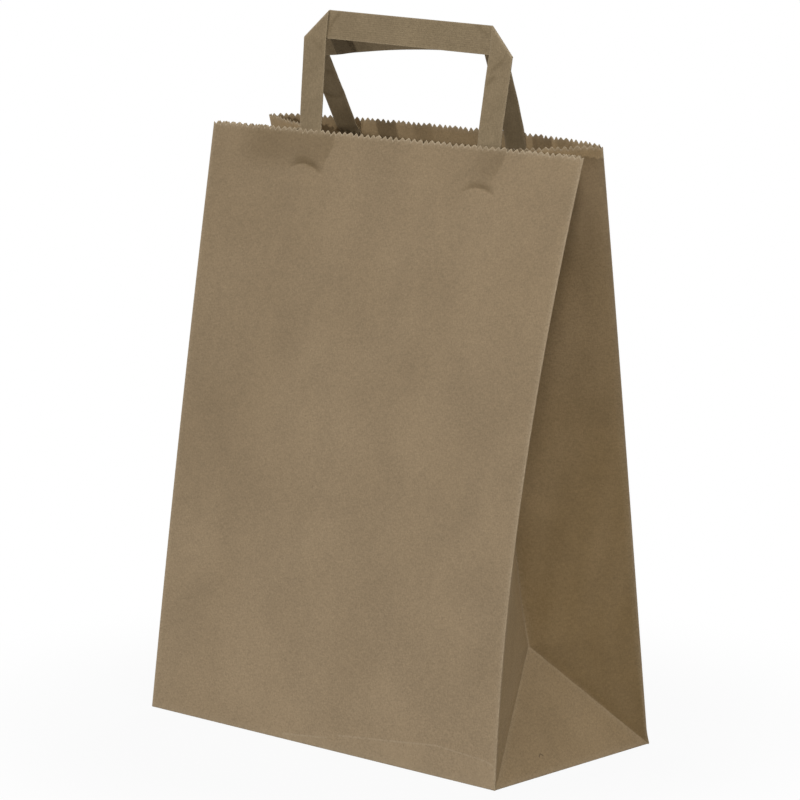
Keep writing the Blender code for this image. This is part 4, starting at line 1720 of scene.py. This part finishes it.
    def pressed_masks(
        self, write: NodeWriter, place: object, line: tuple[float, ...]
    ) -> tuple[object, object]:
        """Masks of one faint pressed line: its thin rubbed ridge, and the slightly paler paper below it."""
        start, start_height, end, end_height = line
        slope = (end_height - start_height) / (end - start)
        x, y = write.parts(place)
        rise = write.math("MULTIPLY", write.math("SUBTRACT", x, start), slope)
        level = write.math("SUBTRACT", write.math("SUBTRACT", y, start_height), rise)
        from_middle = write.math("ABSOLUTE", write.math("SUBTRACT", x, (start + end) / 2.0))
        reach = (end - start) / 2.0
        along = write.spread(from_middle, reach - 0.0004, reach, 1.0, 0.0)
        ridge = write.spread(write.math("ABSOLUTE", level), 0.0001, 0.0007, self.ridge, 0.0)
        below = write.spread(level, -0.0004, 0.0002, self.pale, 0.0)
        return write.math("MULTIPLY", ridge, along), write.math("MULTIPLY", below, along)

    def swing(self, write: NodeWriter, value: object, amount: float) -> object:
        """Turn a value from 0 to 1 into a change from minus to plus half the amount."""
        return write.math("MULTIPLY", write.math("SUBTRACT", value, 0.5), amount)


# Studio


@dataclass(frozen=True)
class Lamp:
    """One square soft lamp, by its direction from the bag: azimuth 0 is in front, 90 on the right."""

    name: str
    azimuth: float
    elevation: float
    size: float
    power: float
    distance: float = 4.0

    def place(self, aim: Vector) -> Vector:
        """Where the lamp hangs when it faces this point."""
        azimuth, elevation = math.radians(self.azimuth), math.radians(self.elevation)
        level = math.cos(elevation)
        way = Vector((math.sin(azimuth) * level, -math.cos(azimuth) * level, math.sin(elevation)))
        return aim + way * self.distance


def camera_sees(write: NodeWriter) -> object:
    """1 for what the camera sees, straight, mirrored or through something clear, and 0 for what lights."""
    path = write.node("ShaderNodeLightPath")
    seen = write.math("MAXIMUM", path.outputs["Is Camera Ray"], path.outputs["Is Glossy Ray"])
    return write.math("MAXIMUM", seen, path.outputs["Is Transmission Ray"])


def emitting(write: NodeWriter, kind: str, colour: tuple[float, float, float], strength: float) -> object:
    """Add a plain light-giving shader and give its output."""
    made = write.node(kind)
    made.inputs["Color"].default_value = (*colour, 1.0)
    made.inputs["Strength"].default_value = strength
    return made.outputs[0]


def finish_tree(write: NodeWriter, output: str, share: object, first: object, second: object) -> None:
    """Mix two shaders by a share and link them to a new output node."""
    mixed = write.node("ShaderNodeMixShader")
    for source, socket in zip((share, first, second), mixed.inputs):
        write.link(source, socket)
    write.link(mixed.outputs[0], write.node(output).inputs["Surface"])


@dataclass
class Studio:
    """A floor and sky that the camera sees white, soft lamps and the camera at the photograph's angle."""

    camera_place: tuple[float, float, float] = (1.2757, -1.4031, 0.4993)
    yaw: float = 42.217
    pitch: float = 9.495
    roll: float = 0.233
    focal: float = 3537.4
    frame: float = 800.0
    sensor: float = 36.0
    floor_half: float = 3.0
    floor_tone: float = 0.35
    floor_lit: float = 0.06
    shadow_reach: tuple[float, float] = (0.14, 0.34)
    sky: float = 0.06
    sky_colour: tuple[float, float, float] = (1.0, 0.99, 0.97)
    white: tuple[float, float, float] = (1.0, 1.0, 1.0)
    aim: tuple[float, float, float] = (0.0, 0.0, 0.2)
    lamps: tuple[Lamp, ...] = (
        Lamp("left_lamp", azimuth=-20, elevation=9, size=0.16, power=43.0),
        Lamp("far_left_lamp", azimuth=-46, elevation=7, size=0.16, power=22.0),
        Lamp("high_lamp", azimuth=15, elevation=60, size=1.0, power=29.0),
        Lamp("right_lamp", azimuth=45, elevation=35, size=1.0, power=51.0),
        Lamp("side_lamp", azimuth=80, elevation=60, size=1.0, power=34.0),
        Lamp("low_side_lamp", azimuth=95, elevation=15, size=0.8, power=21.0),
        Lamp("rear_lamp", azimuth=200, elevation=35, size=1.2, power=60.0),
        Lamp("rear_left_lamp", azimuth=265, elevation=40, size=1.2, power=45.0),
    )

    def camera(self) -> None:
        """Place the camera."""
        data = bpy.data.cameras.new("camera")
        data.sensor_width = self.sensor
        data.lens = self.focal / self.frame * self.sensor
        data.clip_start = 0.05
        data.clip_end = 50.0
        camera = bpy.data.objects.new("camera", data)
        bpy.context.scene.collection.objects.link(camera)
        turn = Matrix.Rotation(math.radians(self.yaw), 4, "Z")
        turn = turn @ Matrix.Rotation(math.radians(90 - self.pitch), 4, "X")
        turn = turn @ Matrix.Rotation(math.radians(self.roll), 4, "Z")
        camera.matrix_world = Matrix.Translation(self.camera_place) @ turn
        bpy.context.scene.camera = camera

    def floor_material(self) -> bpy.types.Material:
        """A pale floor that the camera sees white, with some lighting kept near the bag for a shadow."""
        material = bpy.data.materials.new("floor_white")
        material.use_nodes = True
        material.node_tree.nodes.clear()
        write = NodeWriter(material.node_tree)
        matt = write.node("ShaderNodeBsdfDiffuse")
        matt.inputs["Color"].default_value = (*[self.floor_tone] * 3, 1.0)
        white = emitting(write, "ShaderNodeEmission", self.white, 1.0)
        away = write.node("ShaderNodeVectorMath", operation="LENGTH")
        write.link(write.node("ShaderNodeTexCoord").outputs["Object"], away.inputs[0])
        whiteness = write.spread(away.outputs["Value"], *self.shadow_reach, 1.0 - self.floor_lit, 1.0)
        share = write.math("MULTIPLY", camera_sees(write), whiteness)
        finish_tree(write, "ShaderNodeOutputMaterial", share, matt.outputs[0], white)
        return material

    def floor(self) -> None:
        """Lay the flat floor."""
        bpy.ops.object.select_all(action="DESELECT")
        bpy.ops.mesh.primitive_grid_add(x_subdivisions=6, y_subdivisions=6, size=2 * self.floor_half)
        floor = bpy.context.object
        floor.name = "floor"
        floor.data.materials.append(self.floor_material())

    def world(self) -> None:
        """Even soft light from all round, white to the camera."""
        world = bpy.data.worlds.new("world")
        bpy.context.scene.world = world
        world.use_nodes = True
        world.node_tree.nodes.clear()
        write = NodeWriter(world.node_tree)
        soft = emitting(write, "ShaderNodeBackground", self.sky_colour, self.sky)
        white = emitting(write, "ShaderNodeBackground", self.white, 1.0)
        finish_tree(write, "ShaderNodeOutputWorld", camera_sees(write), soft, white)

    def hang(self, lamp: Lamp) -> None:
        """Hang one lamp so that it faces the middle of the bag."""
        data = bpy.data.lights.new(lamp.name, "AREA")
        data.shape = "SQUARE"
        data.size = lamp.size
        data.energy = lamp.power
        made = bpy.data.objects.new(lamp.name, data)
        bpy.context.scene.collection.objects.link(made)
        aim = Vector(self.aim)
        place = lamp.place(aim)
        facing = (aim - place).to_track_quat("-Z", "Y").to_matrix().to_4x4()
        made.matrix_world = Matrix.Translation(place) @ facing
        made.visible_camera = False

    def build(self) -> None:
        """Set up the whole studio."""
        scene = bpy.context.scene
        scene.view_settings.view_transform = "Standard"
        self.camera()
        self.floor()
        self.world()
        for lamp in self.lamps:
            self.hang(lamp)


# The whole bag


LEFT_DENT = Dent(
    line=((-0.0690, 0.0226), (-0.0640, 0.0196), (-0.0598, 0.0184), (-0.0522, 0.0200), (-0.0435, 0.0236)),
)
RIGHT_DENT = Dent(
    line=((0.0520, 0.0262), (0.0560, 0.0234), (0.0615, 0.0219), (0.0692, 0.0229), (0.0764, 0.0254)),
    reach=0.0034,
)
FRONT_TAPE_CREASES = (
    ((0.0770, 0.0150), (0.0722, 0.0089), (0.0690, 0.0012)),
    ((0.0520, 0.0070), (0.0488, 0.0124)),
    ((0.1703, 0.0155), (0.1735, 0.0128), (0.1778, 0.0105)),
    ((0.1985, 0.0058), (0.2012, 0.0095), (0.2042, 0.0126)),
    ((0.2073, 0.0101), (0.2113, 0.0140)),
)
REAR_TAPE_CREASES = (
    ((0.0400, 0.0010), (0.0440, 0.0080), (0.0430, 0.0150)),
    ((0.0300, 0.0020), (0.0280, 0.0090), (0.0310, 0.0150)),
)
FRONT_FOLDS = (((0.0608, 0.0097), (0.0640, 0.0122), (0.0694, 0.0151)),)
FOOT_CREASE = ((-0.0506, 0.0019), (0.0604, 0.0138), (0.1184, 0.0145), (0.1272, 0.0128))
FOOT_PRESSED_LINES = (
    (-0.0255, 0.0025, 0.0079, 0.0061),
    (0.0157, 0.0087, 0.0862, 0.0161),
    (0.0862, 0.0161, 0.1196, 0.0141),
    (0.1196, 0.0141, 0.1270, 0.0122),
)
# Patches of painted shade on the front panel, between the rim and the dents.
FRONT_PAINTED_SHADE = ((-0.112, -0.0388, 0.012, 1.9), (0.048, 0.0770, 0.012, 1.4))


@dataclass
class CarrierBag:
    """The bag with its handles, patches and bottom, dressed and riding on the frame's one body."""

    body: str = "root"
    finish: dict[str, bpy.types.Material] = field(default_factory=dict)
    colour: tuple[float, float, float] = (0.262, 0.190, 0.110)
    tape_colour: tuple[float, float, float] = (0.220, 0.163, 0.092)

    def finishes(self) -> dict[str, bpy.types.Material]:
        """Make the finishes that the pieces share."""
        groups = {"fibre": fibre_group(), "mottle": mottle_group(), "tone": tone_group(), "ribs": rib_group()}
        return {
            "kraft_sheet": KraftFinish(
                "kraft_sheet_finish", self.colour, nick=(0.1694, 0.0106), pressed=FOOT_PRESSED_LINES
            ).material(groups),
            "kraft_tape": KraftFinish(
                "kraft_tape_finish", self.tape_colour, ribs=0.000028, grain=0.00005, cloud=0.09
            ).material(groups),
            "kraft_patch": KraftFinish("kraft_patch_finish", self.colour, cloud=0.09).material(groups),
        }

    def dress(self, obj: bpy.types.Object, slot: str, nodes: tuple[str, ...]) -> None:
        """Give a piece its material and its body, and hide the solids that it stands for.

        Args:
            obj: The piece.
            slot: Name of its finish.
            nodes: Names of the solids that it replaces.
        """
        material = self.finish[slot]
        obj.data.materials.clear()
        obj.data.materials.append(material)
        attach(obj, self.body)
        if nodes:
            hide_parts(*nodes)
        LOG.info("%s: %d faces", obj.name, len(obj.data.polygons))

    def build(self) -> None:
        """Build every piece."""
        shape = BagShape()
        self.finish = self.finishes()
        marks = {
            Side.FRONT: PanelMarks(
                shape, legs=(-0.0575, 0.0655), dents=(LEFT_DENT, RIGHT_DENT), folds=FRONT_FOLDS,
                # Patches of painted shade, painted shade at the left edge and rim, painted light at the foot.
                painted_shade_patches=FRONT_PAINTED_SHADE, left_painted_light=-0.7, rim_painted_light=-0.45, foot_painted_light=1.2,
            ),
            # Painted light at the rear panel's foot.
            Side.REAR: PanelMarks(shape, legs=(-0.0720, 0.0530), seed=9, foot_painted_light=0.3),
        }
        sheet = BagSheet(shape=shape, marks=marks)
        front = TapeHandle(
            sheet, Side.FRONT, "tape_handle_front", centre=0.0034, turn=4.0, tip=-2.1, reach=0.2058,
            draw_in=(0.0028, 0.0015), bend_from=0.0048, creases=FRONT_TAPE_CREASES,
        )
        rear = TapeHandle(
            sheet, Side.REAR, "tape_handle_rear", centre=-0.0078, turn=2.5, tip=3.9, reach=-0.6684,
            draw_in=(0.0009, -0.0012), sunk=0.0060, bend_from=-0.006, seed=35, arch=0.0023,
            # Painted shade on the rear handle's inner face.
            leg_painted_shade=2.6, bar_painted_shade=1.2, creases=REAR_TAPE_CREASES,
        )
        bag = sheet.build()
        self.dress(bag, "kraft_sheet", ("bag_body",))
        for handle, node in ((front, "front_handle"), (rear, "rear_handle")):
            tape = handle.build()
            self.dress(tape, "kraft_tape", (node,))
            patch = HandlePatch(handle, f"leg_patch_{handle.side.name.lower()}", seed=41 + handle.seed)
            made = patch.build()
            self.dress(made, "kraft_patch", (f"{node}_patch",))
        bottom = BlockBottom(shape)
        for side in Side:
            flap = bottom.build(side)
            self.dress(flap, "kraft_sheet", ())


def main() -> None:
    """Build the scene."""
    logging.basicConfig(level=logging.INFO, format="%(name)s: %(message)s")
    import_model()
    Studio().build()
    CarrierBag().build()
    bpy.context.view_layer.update()


if __name__ == "__main__":
    main()
